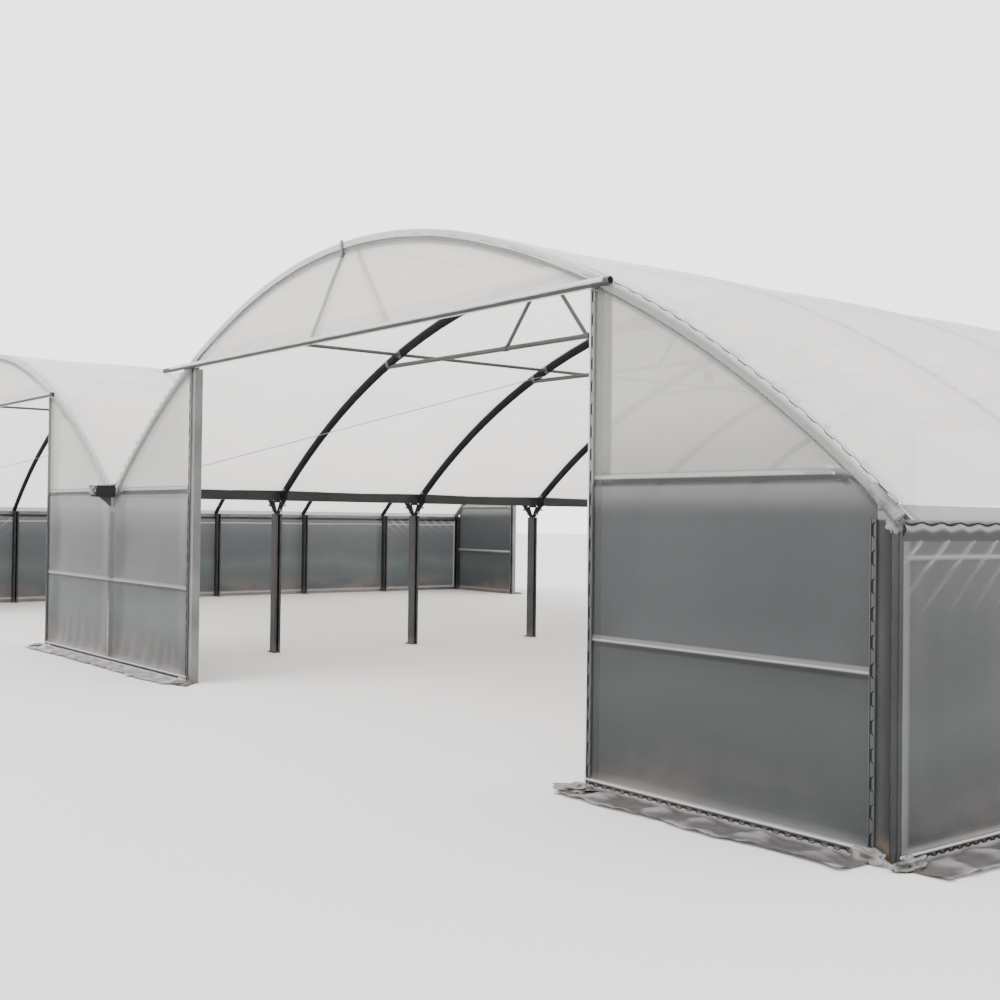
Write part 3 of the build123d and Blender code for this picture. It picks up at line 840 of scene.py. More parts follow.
class GREENHOUSE_OT_roof_films(bpy.types.Operator):
    """Stretches a film over the hoops of each span"""

    bl_idname = "greenhouse.roof_films"
    bl_label = "Roof films"

    def execute(self, context):
        sag = context.scene.greenhouse_film.sag
        valley_run = run_at(half_span - gutter_top_half)
        eave_run = run_at(wall_face + half_film - half_span)
        length = film_face + lock_thickness + half_film
        flap = (0, 0.06, 0.12, 0.5, 0.88, 0.94, 1)
        rows = [(-length, share) for share in reversed(flap[1:])]
        rows += [(y, 0) for y in spaced(-length, length, 0.05, (-gable_face, gable_face))]
        rows += [(length, share) for share in flap[1:]]
        near_eave = (eave_run - 0.5, eave_run - 0.25, eave_run - 0.1)
        runs = spaced(-valley_run, eave_run, 0.12, (-3.2, -2.9, 2.32, 2.36, 2.4, 2.9, 3.2, *near_eave))
        for side, name in hands:
            centre = side * half_span

            def place(run, row):
                """Point of the film: row is (y, share), where share goes down the fold on a gable hoop."""
                y, share = row
                out = half_film
                if share:
                    flank = ease((abs(run) - 2.7) / 0.5)
                    low = hoop_fold + hoop_fold_growth * flank
                    out -= share * low * (1 + (0.1 - 0.07 * flank) * cloud(run, side, y, 3.0))
                    y += (0.004 * share * cloud(run, y, side, 5.0) - 0.001) * (1 if y > 0 else -1)
                elif abs(y) < gable_face:
                    bay = ((y + half_length) / bay_length) % 1
                    hang = sin(pi * bay) ** 2
                    x, z = on_arch(run)
                    ripple = cloud(x * 0.4, y * 2.2, z * 0.4 + side, 2.6) * 0.006
                    eave = ease((run - eave_run + 0.5) / 0.5)
                    ripple += eave * hang * sin(y * 2 * pi / 0.31 + 1.5 * cloud(0, y, side, 1)) * 0.004
                    out -= hang * sag * min(1, (eave_run - run) / 0.25)
                    out += ripple * hang
                    out = min(out, 0.009)
                x, z = on_arch(run, out)
                return Vector((centre + side * x, y, z))

            def look(point):
                """Hoops and purlins show through the roof as painted shade; the fold's upper rim has a
                painted highlight and its edge a painted shadow.
                """
                if abs(point.y) < length - 0.006:
                    line = abs((point.y + half_length + bay_length / 2) % bay_length - bay_length / 2)
                    shade = 0.07 * (1 - ease((line - 0.02) / 0.06))
                    purlin = abs(abs(point.x - centre) - haunch_purlin_offset - 0.02)
                    shade = max(shade, 0.035 * (1 - ease((purlin - 0.01) / 0.05)))
                    return 0.25 * (1 - ease((line - 0.025) / 0.03)), -shade
                away = abs(point.x - centre)
                low = max(arch_height(away) - point.z, 0)
                slope = abs(arch_height(away + 0.01) - arch_height(away - 0.01)) / 0.02
                low /= sqrt(1 + slope * slope)
                flank = ease((away - 2.65) / 0.3)
                if low < 0.009:
                    return 0, 0.8
                return flank * 0.9, -0.3 * ease((low - hoop_fold + 0.008 - hoop_fold_growth * flank) / 0.004)

            shape = paint(lattice(runs, rows, place), look)
            if side > 0:
                bmesh.ops.recalc_face_normals(shape, faces=shape.faces)
            top = max(shape.faces, key=lambda face: face.calc_center_median().z)
            top.normal_update()
            if top.normal.z < 0:
                bmesh.ops.reverse_faces(shape, faces=shape.faces)
            node = f"{name}_roof_film"
            piece = add_piece(f"{node}_sheet", shape, finishes["roof"], (node,), smooth=70)
        return {"FINISHED"}


def gable_top(x):
    """Height of the gable film's top edge at an X of the house."""
    if abs(x) >= gutter_top_half:
        return arch_height(abs(x) - half_span)
    share = max(0, (abs(x) - gutter_floor_half) / (gutter_top_half - gutter_floor_half))
    return gutter_floor - 0.001 + share * (arch_height(half_span - gutter_top_half) - gutter_floor)


def steepness(x):
    """Length of the gable film's top edge for each metre across, at an X of the house."""
    slope = 0.5 * (gable_top(x + 0.01) - gable_top(x - 0.01)) / 0.01
    return sqrt(1 + slope * slope)


def pressed(distance, radius, slope=0.45):
    """How far behind its front the film lies beside a round bar that it is pressed on."""
    turn = slope / sqrt(1 + slope * slope)
    edge = radius * turn
    if distance < edge:
        return radius - sqrt(radius * radius - distance * distance)
    return radius - sqrt(radius * radius - edge * edge) + (distance - edge) * slope


def by_posts(x, z):
    """How near the gable film is to the posts behind it, from 0 to 1, and its tone, from dark to light:
    painted light over the posts low down, and painted shade beside them high up.
    """
    near, tone = 0.0, 0.0
    above = ease((z - 1.8) / 0.1)
    for centre in (-half_span, half_span):
        for way in (-1, 1):
            post = abs(x - centre - way * post_centre) - post_width / 2
            rim = 1 - ease((post - 0.062) / 0.018)
            near = max(near, (0.2 + 0.35 * above) * (1 - ease((post + 0.002) / 0.006)), 0.45 * above * rim)
            tone = max(tone, 0.09 * (1 - above) * (1 - ease((post - 0.02) / 0.05)))
            if above > 0.5:
                tone = min(tone, -0.3 * rim)
    if z < seat_height:
        near = max(near, 0.5 * (1 - ease((abs(x) - 0.055) / 0.05)))
    return near, tone


def on_wrap(x, z):
    """Tone of the film over a doorway, low down where it is rolled over the header: painted shade along the
    roll.
    """
    low = z - lunette_floor
    tone = -0.1 * ease((0.13 - low) / 0.04) * (0.6 + 1.4 * cloud(x * 1.5, z * 5, 0, 5))
    return tone - 0.2 * bump_at(low, 0.125 + 0.012 * cloud(x, 0, 0, 1.5), 0.03)


def below_haunch(x, z, tone):
    """Tone of the outer bays' film above the rail: painted shade where the inside shows darker through it."""
    share = min(max((x - 8.7) / 0.5, 0.0), 1.0)
    line = abs(z - 2.36 + 0.9 * (x - 8.7))
    return min(
        tone,
        -0.42 * ease((2.4 - z) / 0.5),
        -0.14 * bump_at(line, 0, 0.045) * bump_at(share, 0.5, 0.5),
        -0.3 * bump_at(x, 8.49, 0.05) * bump_at(z, 2.42, 0.06),
    )


def on_upper_rail(high, band, near, tone):
    """Nearness and tone of the film on the upper rail, at a height from its middle, in radii: painted shade
    on its lower half and under it, a faint painted highlight above the middle, and painted shade along its
    top.
    """
    near = max(near, 0.4 * ease((high - 0.05) / 0.2) * ease((1 - high) / 0.3))
    if high < 0.1:
        tone = -ease((0.1 - high) / 0.3) * ease((1.75 + high) / 0.5)
    elif high < 0.7:
        tone = 0.1 * ease((high - 0.1) / 0.2) * ease((0.7 - high) / 0.2)
    else:
        tone = min(tone, -0.65 * ease((high - 0.7) / 0.2) * ease((1.3 - high) / 0.3))
    if 0 < band - 0.09 < 0.16:
        tone = min(tone, -0.35 * ease((1.2 - abs(high)) / 0.2))
    return near, tone


def on_lower_rail(high):
    """Tone of the film on the lower rail, at a height from its middle, in radii: painted shade below it, a
    painted highlight across its middle and faint painted light above.
    """
    if high < -0.4:
        return -0.9 * ease((-0.4 - high) / 0.3) * ease((1.7 + high) / 0.5)
    if high < 0.4:
        return max(0.4 * ease((high + 0.4) / 0.3) * ease((0.4 - high) / 0.3), 0.13 * ease((high + 0.1) / 0.4))
    return 0.13 * ease((1.3 - high) / 0.5)


def steel_behind(x, z, top):
    """How near the gable film is to all the steel behind it, and its tone, as for by_posts: painted shade and
    light along the hoops, header and rails, and a painted pale strip at the foot.
    """
    near, tone = by_posts(x, z)
    band = (top - z) / steepness(x)
    if abs(x) > gutter_top_half:
        near = max(near, 1 - ease((band - 0.074) / 0.012))
        # Painted shadow along the lower edge of the gable hoop's band.
        tone = min(tone, -0.42 * ease((0.112 - band) / 0.014) * ease((band - 0.07) / 0.012))
    if abs(abs(x) - half_span) < covered_edge and 0 < z - lunette_floor < 0.2:
        tone = on_wrap(x, z)
    if 1.9 < z and abs(x) > half_span + covered_edge:
        tone = below_haunch(abs(x), z, tone)
    upper, lower = ((z - level) / radius for level, radius in rail_radii.items())
    if abs(upper) <= 1.8:
        near, tone = on_upper_rail(upper, band, near, tone)
    if abs(lower) <= 1.8:
        tone = on_lower_rail(lower)
    # Painted light: a pale strip along the foot of the film.
    if z < 0.12:
        tone = max(tone, 0.5 * (1 - ease((z - 0.056) / 0.01)), 0.1 * (1 - ease((z - 0.06) / 0.05)))
    return near, tone


def gable_sheet(left, right, floor_height, end, billow):
    """Film on a gable between two X values, pressed on the rails and blown in between them."""
    lunette = floor_height > 1
    posts = [side * half_span + way * post_centre for side in (-1, 1) for way in (-1, 1)]
    post_marks = (0.048, 0.056, 0.07, 0.112, 0.13)
    valley_marks = (0.055, 0.105, gutter_floor_half, gutter_top_half)
    rail_marks = (-1.75, -1.25, -0.8, -0.4, -0.2, 0.0, 0.1, 0.25, 0.4, 0.55, 0.7, 0.9, 1.1, 1.3)
    edges = [post + way * mark for post in posts for way in (-1, 1) for mark in post_marks]
    edges += [way * mark for way in (-1, 1) for mark in valley_marks]
    columns = spaced(left, right, 0.035, edges)
    posts += [0, 2 * half_span, -2 * half_span]
    band = (0.0, 0.004, 0.05, 0.07, 0.076, 0.082, 0.09, 0.098, 0.112, 0.135)
    ceiling = max(gable_top(x) for x in columns)
    lines = [level + radius * mark for level, radius in rail_radii.items() for mark in rail_marks]
    lines += [0.05, 0.058, 0.07, 0.09, 0.12, 1.8, 1.83, 1.86, 1.9]
    rows = [(height, 0) for height in spaced(floor_height, ceiling, 0.035, lines)]
    rows += [(ceiling + 1, drop) for drop in reversed(band)]

    def place(x, row):
        """Point of the film: row is (height, drop), where drop is how far below the arch the point is."""
        height, drop = row
        top = gable_top(x)
        steep = steepness(x)
        in_band = height > ceiling
        z = top - drop * steep if in_band else min(height, top - (band[-1] + 0.002) * steep)
        z = max(z, floor_height)
        free = ease((min(abs(x - post) for post in posts) - 0.05) / 0.3)
        room = pressed(max(0, (top - z) * 0.8 - hoop_depth), 0.06, 0.3)
        if lunette:
            room = min(room, pressed(z - floor_height, 0.05, 0.2))
        else:
            room = min(
                room, pressed(max(0, z - 0.06), 0.05, 0.3),
                *(pressed(abs(z - level), radius) for level, radius in rail_radii.items()),
            )
        most = billow * (0.8 + 0.5 * cloud(x, z, end, 0.8))
        depth = most * (1 - 1 / (1 + room / most)) * free
        depth += 0.002 * cloud(x * 2.2, z * 0.5, end * 3, 2.2) * free * ease(room / 0.01)
        if not lunette and 0.06 < z < 0.5:
            fold = 0.5 + 0.5 * sin(x * 26 + 4 * cloud(x, z, 0, 1.2))
            depth += 0.007 * fold * ease((0.5 - z) / 0.3) * ease((z - 0.06) / 0.06) * free
        if lunette:
            crumple = ease((0.2 - (z - floor_height)) / 0.1) * ease((z - floor_height - 0.03) / 0.02)
            out = 0.006 * ease(room / 0.03) + 0.009 * crumple * abs(cloud(x * 2.0, z * 6, end, 4))
            return Vector((x, end * (film_face + half_film + out), z))
        return Vector((x, end * (film_face - half_film - max(depth, 0)), z))

    shape = lattice(columns, rows, place)
    bmesh.ops.remove_doubles(shape, verts=shape.verts, dist=0.0003)
    paint(shape, lambda point: steel_behind(point.x, point.z, gable_top(point.x)))
    return faced(shape, Vector((0, end, 0)))


class GREENHOUSE_OT_gable_films(bpy.types.Operator):
    """Stretches the films of both gables over their posts and rails"""

    bl_idname = "greenhouse.gable_films"
    bl_label = "Gable films"

    def bays(self, end, name, billow):
        """Films of a gable's two outer bays and its valley."""
        for (left, right), bay in zip(film_spans, ("right_bay", "valley", "left_bay")):
            shape = gable_sheet(left, right, 0.0, end, billow)
            node = f"{name}_{bay}_film"
            look = finishes["valley_wall" if bay == "valley" else "wall"]
            piece = add_piece(f"{node}_sheet", shape, look, (node,), smooth=70)

    def lunettes(self, end, name, billow):
        """Films over a gable's two doorways."""
        shapes = [
            gable_sheet(centre - covered_edge, centre + covered_edge, lunette_floor, end, billow)
            for centre in span_centres
        ]
        node = f"{name}_lunette_films"
        piece = add_piece(f"{node}_sheet", merged(shapes), finishes["lunette"], (node,), smooth=70)

    def execute(self, context):
        billow = context.scene.greenhouse_film.billow
        for end, name in gables:
            self.bays(end, name, billow)
            self.lunettes(end, name, billow)
        return {"FINISHED"}


def scallop(y):
    """Height of the eave's wire at a place along the house."""
    return seat_height - scallop_depth + scallop_swing * sin(2 * pi * y / scallop_wave)


class GREENHOUSE_OT_side_films(bpy.types.Operator):
    """Hangs the film of the side walls, with its folds near the eave and corners"""

    bl_idname = "greenhouse.side_films"
    bl_label = "Side films"

    def execute(self, context):
        top = arch_height(wall_face + half_film - half_span)
        marks = (0.05, 0.07, 1.43, 1.45, 1.46, 1.47, 1.48, 1.49, 1.51, 1.6, 1.625, 1.637)
        heights = spaced(0, top, 0.022, marks)
        corners = [end * (film_face - inset) for end in (-1, 1) for inset in (0.03, 0.06)]
        places = spaced(-film_face, film_face, 0.03, corners)
        for side, name in hands:

            def wrinkle(y, z):
                """Ridges that run down and out from the eave near each corner, from 0 to 1."""
                corner = film_face - abs(y)
                rise = 0.25 * ease((z - 1.15) / 0.2) + 0.75 * ease((z - 1.38) / 0.08)
                pull = rise * ease((1.6 - z) / 0.06) * ease((2.6 - corner) / 1.2)
                slant = (corner * 1.0 + (1.6 - z) * 1.25) / 0.23 + 0.25 * cloud(0, y, z, 1.7)
                return pull * max(0, cos(2 * pi * slant)) ** 9 * (0.75 + cloud(7, y, z, 1.3))

            def fold(y, z):
                """The level crease under the eave, from 0 to 1."""
                crease = eave_crease_height + 0.012 * cloud(3, y, 0, 0.7)
                return bump_at(z, crease, 0.016)

            def place(y, z):
                corner = film_face - abs(y)
                free = ease(min(z - 0.06, 1.56 - z) / 0.25) * ease((corner - 0.05) / 0.2)
                depth = 0.012 * (1 + 0.6 * cloud(0, y, z, 0.8)) * free
                depth -= 0.010 * wrinkle(y, z) + 0.009 * fold(y, z) * ease((corner - 0.05) / 0.1)
                depth += 0.004 * cloud(1, y * 3, z * 0.4, 2.0) * free
                depth = min(max(depth, -0.009), 0.035)
                return Vector((side * (wall_face + half_film - depth + 0.0005), y, z))

            # Painted light on the wrinkles and the crease, and a lighter tone near the corners, at the foot
            # and at the top.
            def look(point):
                edge = film_face - abs(point.y)
                return 0, max(
                    0.34 * wrinkle(point.y, point.z),
                    0.26 * fold(point.y, point.z),
                    0.18 * (1 - ease((edge - 0.05) / 0.03)),
                    0.3 * (1 - ease((point.z - 0.06) / 0.04)),
                    0.35 * ease((point.z - 1.625) / 0.012),
                )

            shape = paint(faced(lattice(places, heights, place), Vector((side, 0, 0))), look)
            node = f"{name}_side_film"
            piece = add_piece(f"{node}_sheet", shape, finishes["side"], (node,), smooth=70)
        return {"FINISHED"}


def lumpy(radius, seed, taper=0.0):
    """Uneven radius for a roll of film, thinner at its start by the taper."""

    def reach(u, turn):
        rough = 0.5 * cloud(u * 26, cos(turn) * 0.5 + seed, sin(turn) * 0.5, 1.3)
        rough += 0.25 * cloud(u * 80, cos(turn) + seed, sin(turn), 1.6)
        return radius * (1 + 0.22 * rough) - taper * (1 - ease(u / 0.06))

    return reach


def bead(line, seed, steps):
    """Edge of film that shows below a base line's channel."""
    return paint(tube(line, lumpy(0.0075, seed), steps, 6), lambda point: (0, -0.35))


def on_ground(shape):
    """Lifts what would lie below the ground onto it."""
    for vert in shape.verts:
        vert.co.z = max(vert.co.z, 0.001)
    return shape


class GREENHOUSE_OT_hems(bpy.types.Operator):
    """Folds the film over the eaves, rolls it round the headers, and bunches it at the corners"""

    bl_idname = "greenhouse.hems"
    bl_label = "Hems and wraps"

    def side_trim(self, side, name):
        """Pleated hem at an eave, film rolled up at the corners, and the bead along the base."""
        places = spaced(-film_face, film_face, 0.0137)

        def pleat(y, share):
            high = scallop(y) - 0.003
            z = high + share * (1.545 - high)
            swell = 0.011 * ease((high - seat_height + 0.045) / 0.03) * sin(pi * min(1, share * 1.5))
            out = lock_thickness + 0.0045 - 0.014 * ease((share - 0.6) / 0.4) + swell
            out += 0.002 * cloud(y, share, side, 9)
            return Vector((side * (wall_lock_face + out), y, z))

        def look(point):
            return 0, 0.34 * (1 - ease((scallop(point.y) - point.z - 0.02) / 0.02))

        hem = paint(faced(lattice(places, spaced(0, 1, 0.12), pleat), Vector((side, 0, 0))), look)
        add_piece(f"{name}_eave_hem", hem, finishes["side"], smooth=80)
        rolls = []
        for end in (-1, 1):
            # The second roll, inside the wall by the column, is painted darker as shade.
            for inset, back, heights, radius, seed, sides, tone in (
                (0.001, 0.006, (0.01, 0.4, 0.8, 1.2, 1.6), 0.0105, 7 * side + end, 10, 0),
                (-0.027, 0.013, (0.03, 0.8, 1.6), 0.025, 9 * side + end, 12, -0.2),
            ):
                line = [(side * (wall_face + inset), end * (film_face - back), height) for height in heights]
                roll = tube(line, lumpy(radius, seed), 60, sides)
                rolls.append(paint(roll, lambda point, tone=tone: (0, tone)))
        add_piece(f"{name}_corner_rolls", merged(rolls), finishes["side"], smooth=80)
        out = side * (wall_lock_face + lock_thickness)
        line = [(out, y, base_bead_height) for y in (-film_face, 0, film_face)]
        add_piece(f"{name}_base_bead", bead(line, side, 300), finishes["hem"], smooth=80)

    def wraps(self, end):
        """Film rolled round the upper half of the headers of a gable, short of the tubes' ends."""
        shapes = []
        for centre in span_centres:
            line = [
                (centre + x, end * (header_line + 0.002), header_height - 0.001)
                for x in (0.16 - header_long_end, 0, header_short_end - 0.045)
            ]
            full = lumpy(0.03, centre, 0.004)

            def upper(u, turn, full=full):
                return full(u, turn) - 0.011 * ease(-sin(turn) / 0.3)

            shapes.append(tube(line, upper, 260, 20))
        return shapes

    def beads(self, end):
        """Edges of film that show beside the lock channels of a gable."""
        shapes = []
        for left, right in film_spans:
            out = end * (film_face + lock_thickness - 0.002)
            line = [(x, out, base_bead_height) for x in (left, (left + right) / 2, right)]
            shapes.append(bead(line, left + end, 150))
            for x, way in ((left, -1), (right, 1)):
                if half_span < abs(x) < 2 * half_span - 0.15:
                    out = end * (film_face + 0.006)
                    line = [(x + way * 0.003, out, height) for height in (0.012, 1.3, lunette_floor)]
                    shapes.append(tube(line, lumpy(0.0085, x + end), 90, 6))
        return shapes

    def bunches(self, end):
        """Crumpled film at the corners, the feet of the posts and the gutter of a gable."""
        shapes = []
        corner = 2 * half_span
        for side in (-1, 1):
            foot = [
                (side * (half_span + along), end * (film_face + 0.014), arch_height(along) - low)
                for along, low in ((4.75, 0.05), (4.8, 0.055), (4.86, 0.055), (4.915, 0.06))
            ]
            shapes.append(tube(foot, lumpy(0.036, 3 * side + end, 0.03), 40, 18))
            for centre, size, seed in (
                ((corner + 0.075, film_face - 0.005, 1.63), (0.045, 0.035, 0.055), side + 2 * end),
                ((corner - 0.03, film_face + 0.02, 0.02), (0.1, 0.035, 0.05), side * 5 + end),
                ((wall_face + 0.04, film_face - 0.05, 0.02), (0.045, 0.12, 0.04), side * 8 + end),
            ):
                shapes.append(lump((side * centre[0], end * centre[1], centre[2]), size, seed, 0.7))
        post_feet = (covered_edge, -covered_edge, half_span * 2 + bare_edge, half_span * 2 - covered_edge)
        for x in (half_span - foot for foot in post_feet):
            shapes.append(lump((x, end * (film_face + 0.09), 0.012), (0.12, 0.1, 0.022), x + end, 0.8))
        in_gutter = (-0.03, end * (gutter_end - 0.005), gutter_floor + 0.07)
        shapes.append(lump(in_gutter, (0.085, 0.02, 0.045), 31 + end, 0.7))
        edge = [
            (x, end * (film_face + out), gutter_top + up)
            for x, out, up in ((-0.13, 0.01, 0.012), (0, 0.02, 0.004), (0.13, 0.01, 0.012))
        ]
        shapes.append(tube(edge, lumpy(0.011, 41 + end), 30, 8))

        def look(point):
            return 0, 0.55 * ease(0.5 + 1.2 * cloud(point.x, point.y, point.z, 14))

        return [paint(on_ground(shape), look) for shape in shapes]

    def tails(self, end):
        """Loose ends of film beside the valley posts of a gable."""
        size = (0.1, 0.07, 0.024)
        spots = [(way, (way * 1.89, end * (film_face + 0.03), 0.014)) for way in (-1, 1)]
        return [on_ground(lump(spot, size, 4 * way + end, 0.9)) for way, spot in spots]

    def execute(self, context):
        for side, name in hands:
            self.side_trim(side, name)
        for end, name in gables:
            for trim, shapes, finish in (
                ("header_wraps", self.wraps(end), "hem"),
                ("lock_beads", self.beads(end), "hem"),
                ("film_bunches", self.bunches(end), "bunch"),
                ("film_tails", self.tails(end), "hem"),
            ):
                add_piece(f"{name}_{trim}", merged(shapes), finishes[finish], smooth=80)
        return {"FINISHED"}


class GREENHOUSE_OT_skirts(bpy.types.Operator):
    """Lays the loose hem of the film on the ground along all walls"""

    bl_idname = "greenhouse.skirts"
    bl_label = "Ground skirts"

    def strip(self, start, end, seed, pale, to_house):
        """Creased strip on the ground; to_house(along, out, height) puts its points on the house."""

        def place(along, share):
            reach = 0.275 + 0.05 * cloud(along, seed, 0, 1.9) + 0.028 * cloud(along, seed, 5, 8)
            out = share * min(reach, skirt_width - 0.004)
            rough = cloud(along * 1.0, out * 1.6, seed, 9) * 0.013 + cloud(along, out, seed, 24) * 0.005
            wave = 0.014 * sin(along * 17 + 2 * cloud(along, 0, seed, 2)) * sin(pi * min(1, out / 0.24))
            crumple = 0.004 + max(0, 0.010 + rough + wave) * ease(out / 0.05)
            lift = max(0, 0.034 - out * 1.6) if out < 0.022 else 0
            curl = 0.012 * ease((share - 0.9) / 0.1) * (0.5 + 0.5 * cloud(along, seed, 9, 5))
            return to_house(along, out, crumple + lift + curl)

        # Painted highlights on the raised creases and on the curled outer edge.
        def look(point):
            out = max(abs(point.y) - film_face, abs(point.x) - wall_face)
            ridge = ease((point.z - 0.014) / 0.014) * 0.26
            return 0, min(1, pale + max(ridge, 0.4 * ease((out - 0.235) / 0.04)))

        shape = lattice(spaced(start, end, 0.022), spaced(0, 1, 0.08, (0.02, 0.93, 0.97)), place)
        return paint(faced(shape, Vector((0, 0, 1))), look)

    def execute(self, context):
        gable_strips, side_strips = [], []
        for end in (-1, 1):

            def at_gable(along, out, height, end=end):
                return Vector((along, end * (film_face + out), height))

            for index, (left, right) in enumerate(film_spans):
                pale = 0.4 if index == 1 else 0.04
                gable_strips.append(self.strip(left, right, index + 3 * end, pale, at_gable))
        for side in (-1, 1):

            def at_side(along, out, height, side=side):
                return Vector((side * (wall_lock_face + out), along, height))

            side_strips.append(self.strip(-film_face, film_face, 9 * side, 0.04, at_side))
        for name, strips, length in (
            ("gable_skirts", gable_strips, gable_skirts_length),
            ("side_skirts", side_strips, side_skirts_length),
        ):
            shape = merged(strips)
            piece = add_piece(name, shape, finishes["skirt"], ("ground_skirts",), smooth=75)
        return {"FINISHED"}


def channel_outline(face):
    """Outline of a lock channel as (sideways, outwards) points, its groove lined with film."""
    half, floor, lip = lock_width / 2, face + groove_floor, 0.005
    rim = face + lock_thickness
    return [
        (-half, face), (half, face), (half, rim), (half - lip, rim),
        (half - lip, floor), (lip - half, floor), (lip - half, rim), (-half, rim),
    ]


def grooved(shape, face, axis, rim=0.0, dark=-0.35):
    """Paints the floor of a channel's groove dark as shade, and lightens the rest up to the eaves by the
    rim's tone, as painted light.
    """

    def look(point):
        depth = abs(point[axis]) - face
        if abs(depth - groove_floor) < 0.00125:
            return 0, dark
        return 0, rim if point.z < 1.9 else 0

    return paint(shape, look)


def wire_run(length, step, swing, thickness, place):
    """Zigzag wire with flat turns; place(along, sideways, outwards) puts its points on the house."""
    corners = ((0.0, 1), (0.4, 1), (0.5, -1), (0.9, -1))
    waves = max(1, round(length / step))

    def put(u, turn):
        whole, corner = divmod(int(u * waves * len(corners) + 0.5), len(corners))
        share, side = corners[corner]
        along = (whole + share) / waves * length
        return place(along, side * swing + thickness / 2 * cos(turn), thickness / 2 * sin(turn))

    return rolled(waves * len(corners), 4, put)


class GREENHOUSE_OT_locks(bpy.types.Operator):
    """Fits the lock channels and their zigzag wires"""

    bl_idname = "greenhouse.locks"
    bl_label = "Lock channels and wires"

    def arch_lock(self, end, centre, wire, channels, wires):
        """Channel round a gable's arch, with wire in both haunches."""
        outline = [(side - lock_edge - lock_width / 2, end * out) for side, out in channel_outline(film_face)]
        channels.append(grooved(along_arch(outline, centre, 14), film_face, 1, 0.25))
        way = 1 if centre > 0 else -1
        valley_run = -run_at(half_span - gutter_top_half - 0.03)
        clear_run = 3.1
        for start, stop in ((valley_run, -clear_run), (clear_run, run_at(4.9))):

            def on_hoop(along, side, out, start=start):
                x, z = on_arch(start + along, 0.001 + out)
                return Vector((centre + way * x, end * (film_face + lock_thickness + side), z))

            wires.append(wire_run(stop - start, wire_wave, 0.006, wire, on_hoop))

    def upright_lock(self, end, x, wire, channels, wires):
        """Channel and wire up a post or a corner column."""
        at_column = abs(x) > 2 * half_span - 0.11
        height = seat_height if at_column else lunette_floor
        outline = [(x + side, end * out, 0.003) for side, out in channel_outline(film_face)]
        # Painted shade in the groove, and painted light on the channels of the door posts.
        rim, dark = (0, -0.35) if at_column else (0.05, -0.12 if abs(x) > half_span else 0)
        channels.append(grooved(prism(outline, (0, 0, height - 0.003)), film_face, 1, rim, dark))

        def upright(along, side, out):
            return Vector((x + 0.0045 + 1.3 * side, end * (wire_line + 0.002 + out), 0.01 + along))

        wires.append(wire_run(height - 0.02, wire_wave, 0.007, wire, upright))

    def base_lock(self, end, left, right, wire, channels, wires):
        """Channel and wire along the foot of a gable's film."""
        start = left + lock_width + lock_gap
        length = right - left - 2 * (lock_width + lock_gap)
        outline = [(start, end * out, lock_line + side) for side, out in channel_outline(film_face)]
        channels.append(grooved(prism(outline, (length, 0, 0)), film_face, 1))

        def level_run(along, side, out):
            return Vector((start + along, end * (wire_line + 0.003 + out), lock_line - 0.003 + side))

        wires.append(wire_run(length, base_wave, 0.007, wire * 1.15, level_run))

    def side_lock(self, side, wire, channels, wires):
        """Channels at the foot and the eave of a side wall, with a zigzag wire below and a wavy one above."""
        for level in (lock_line, seat_height - 0.03):
            outline = [
                (side * out, -gable_face, level + across) for across, out in channel_outline(wall_lock_face)
            ]
            channels.append(grooved(prism(outline, (0, 2 * gable_face, 0)), wall_lock_face, 0))
        front = wall_lock_face + lock_thickness

        def base_run(along, across, away):
            return Vector((side * (front - 0.002 + away), along - gable_face, lock_line + across))

        def eave_run(u, turn):
            y = (2 * u - 1) * (gable_face - 0.01)
            across, up = 0.0042 * cos(turn), 0.0042 * sin(turn)
            return Vector((side * (front + 0.006 + across), y, scallop(y) + up))

        wires.append(wire_run(2 * gable_face - 0.02, base_wave, 0.007, wire * 1.15, base_run))
        wires.append(rolled(round(2 * gable_face / 0.0275), 6, eave_run))

    def add(self, name, channels, wires):
        """Adds the channels and wires of a gable or of both sides as two pieces."""
        node = (f"{name}_lock_channels",)
        sections = merged(channels)
        add_piece(f"{name}_lock_sections", sections, finishes["lined"], node, smooth=30)
        add_piece(f"{name}_lock_wires", merged(wires), finishes["wire"])

    def execute(self, context):
        wire = context.scene.greenhouse_steel.wire
        for end, name in gables:
            channels, wires = [], []
            for centre in span_centres:
                self.arch_lock(end, centre, wire, channels, wires)
            for left, right in film_spans:
                for x in (left + lock_width / 2, right - lock_width / 2):
                    self.upright_lock(end, x, wire, channels, wires)
                self.base_lock(end, left, right, wire, channels, wires)
            self.add(name, channels, wires)
        channels, wires = [], []
        for side in (-1, 1):
            self.side_lock(side, wire, channels, wires)
        self.add("side", channels, wires)
        return {"FINISHED"}


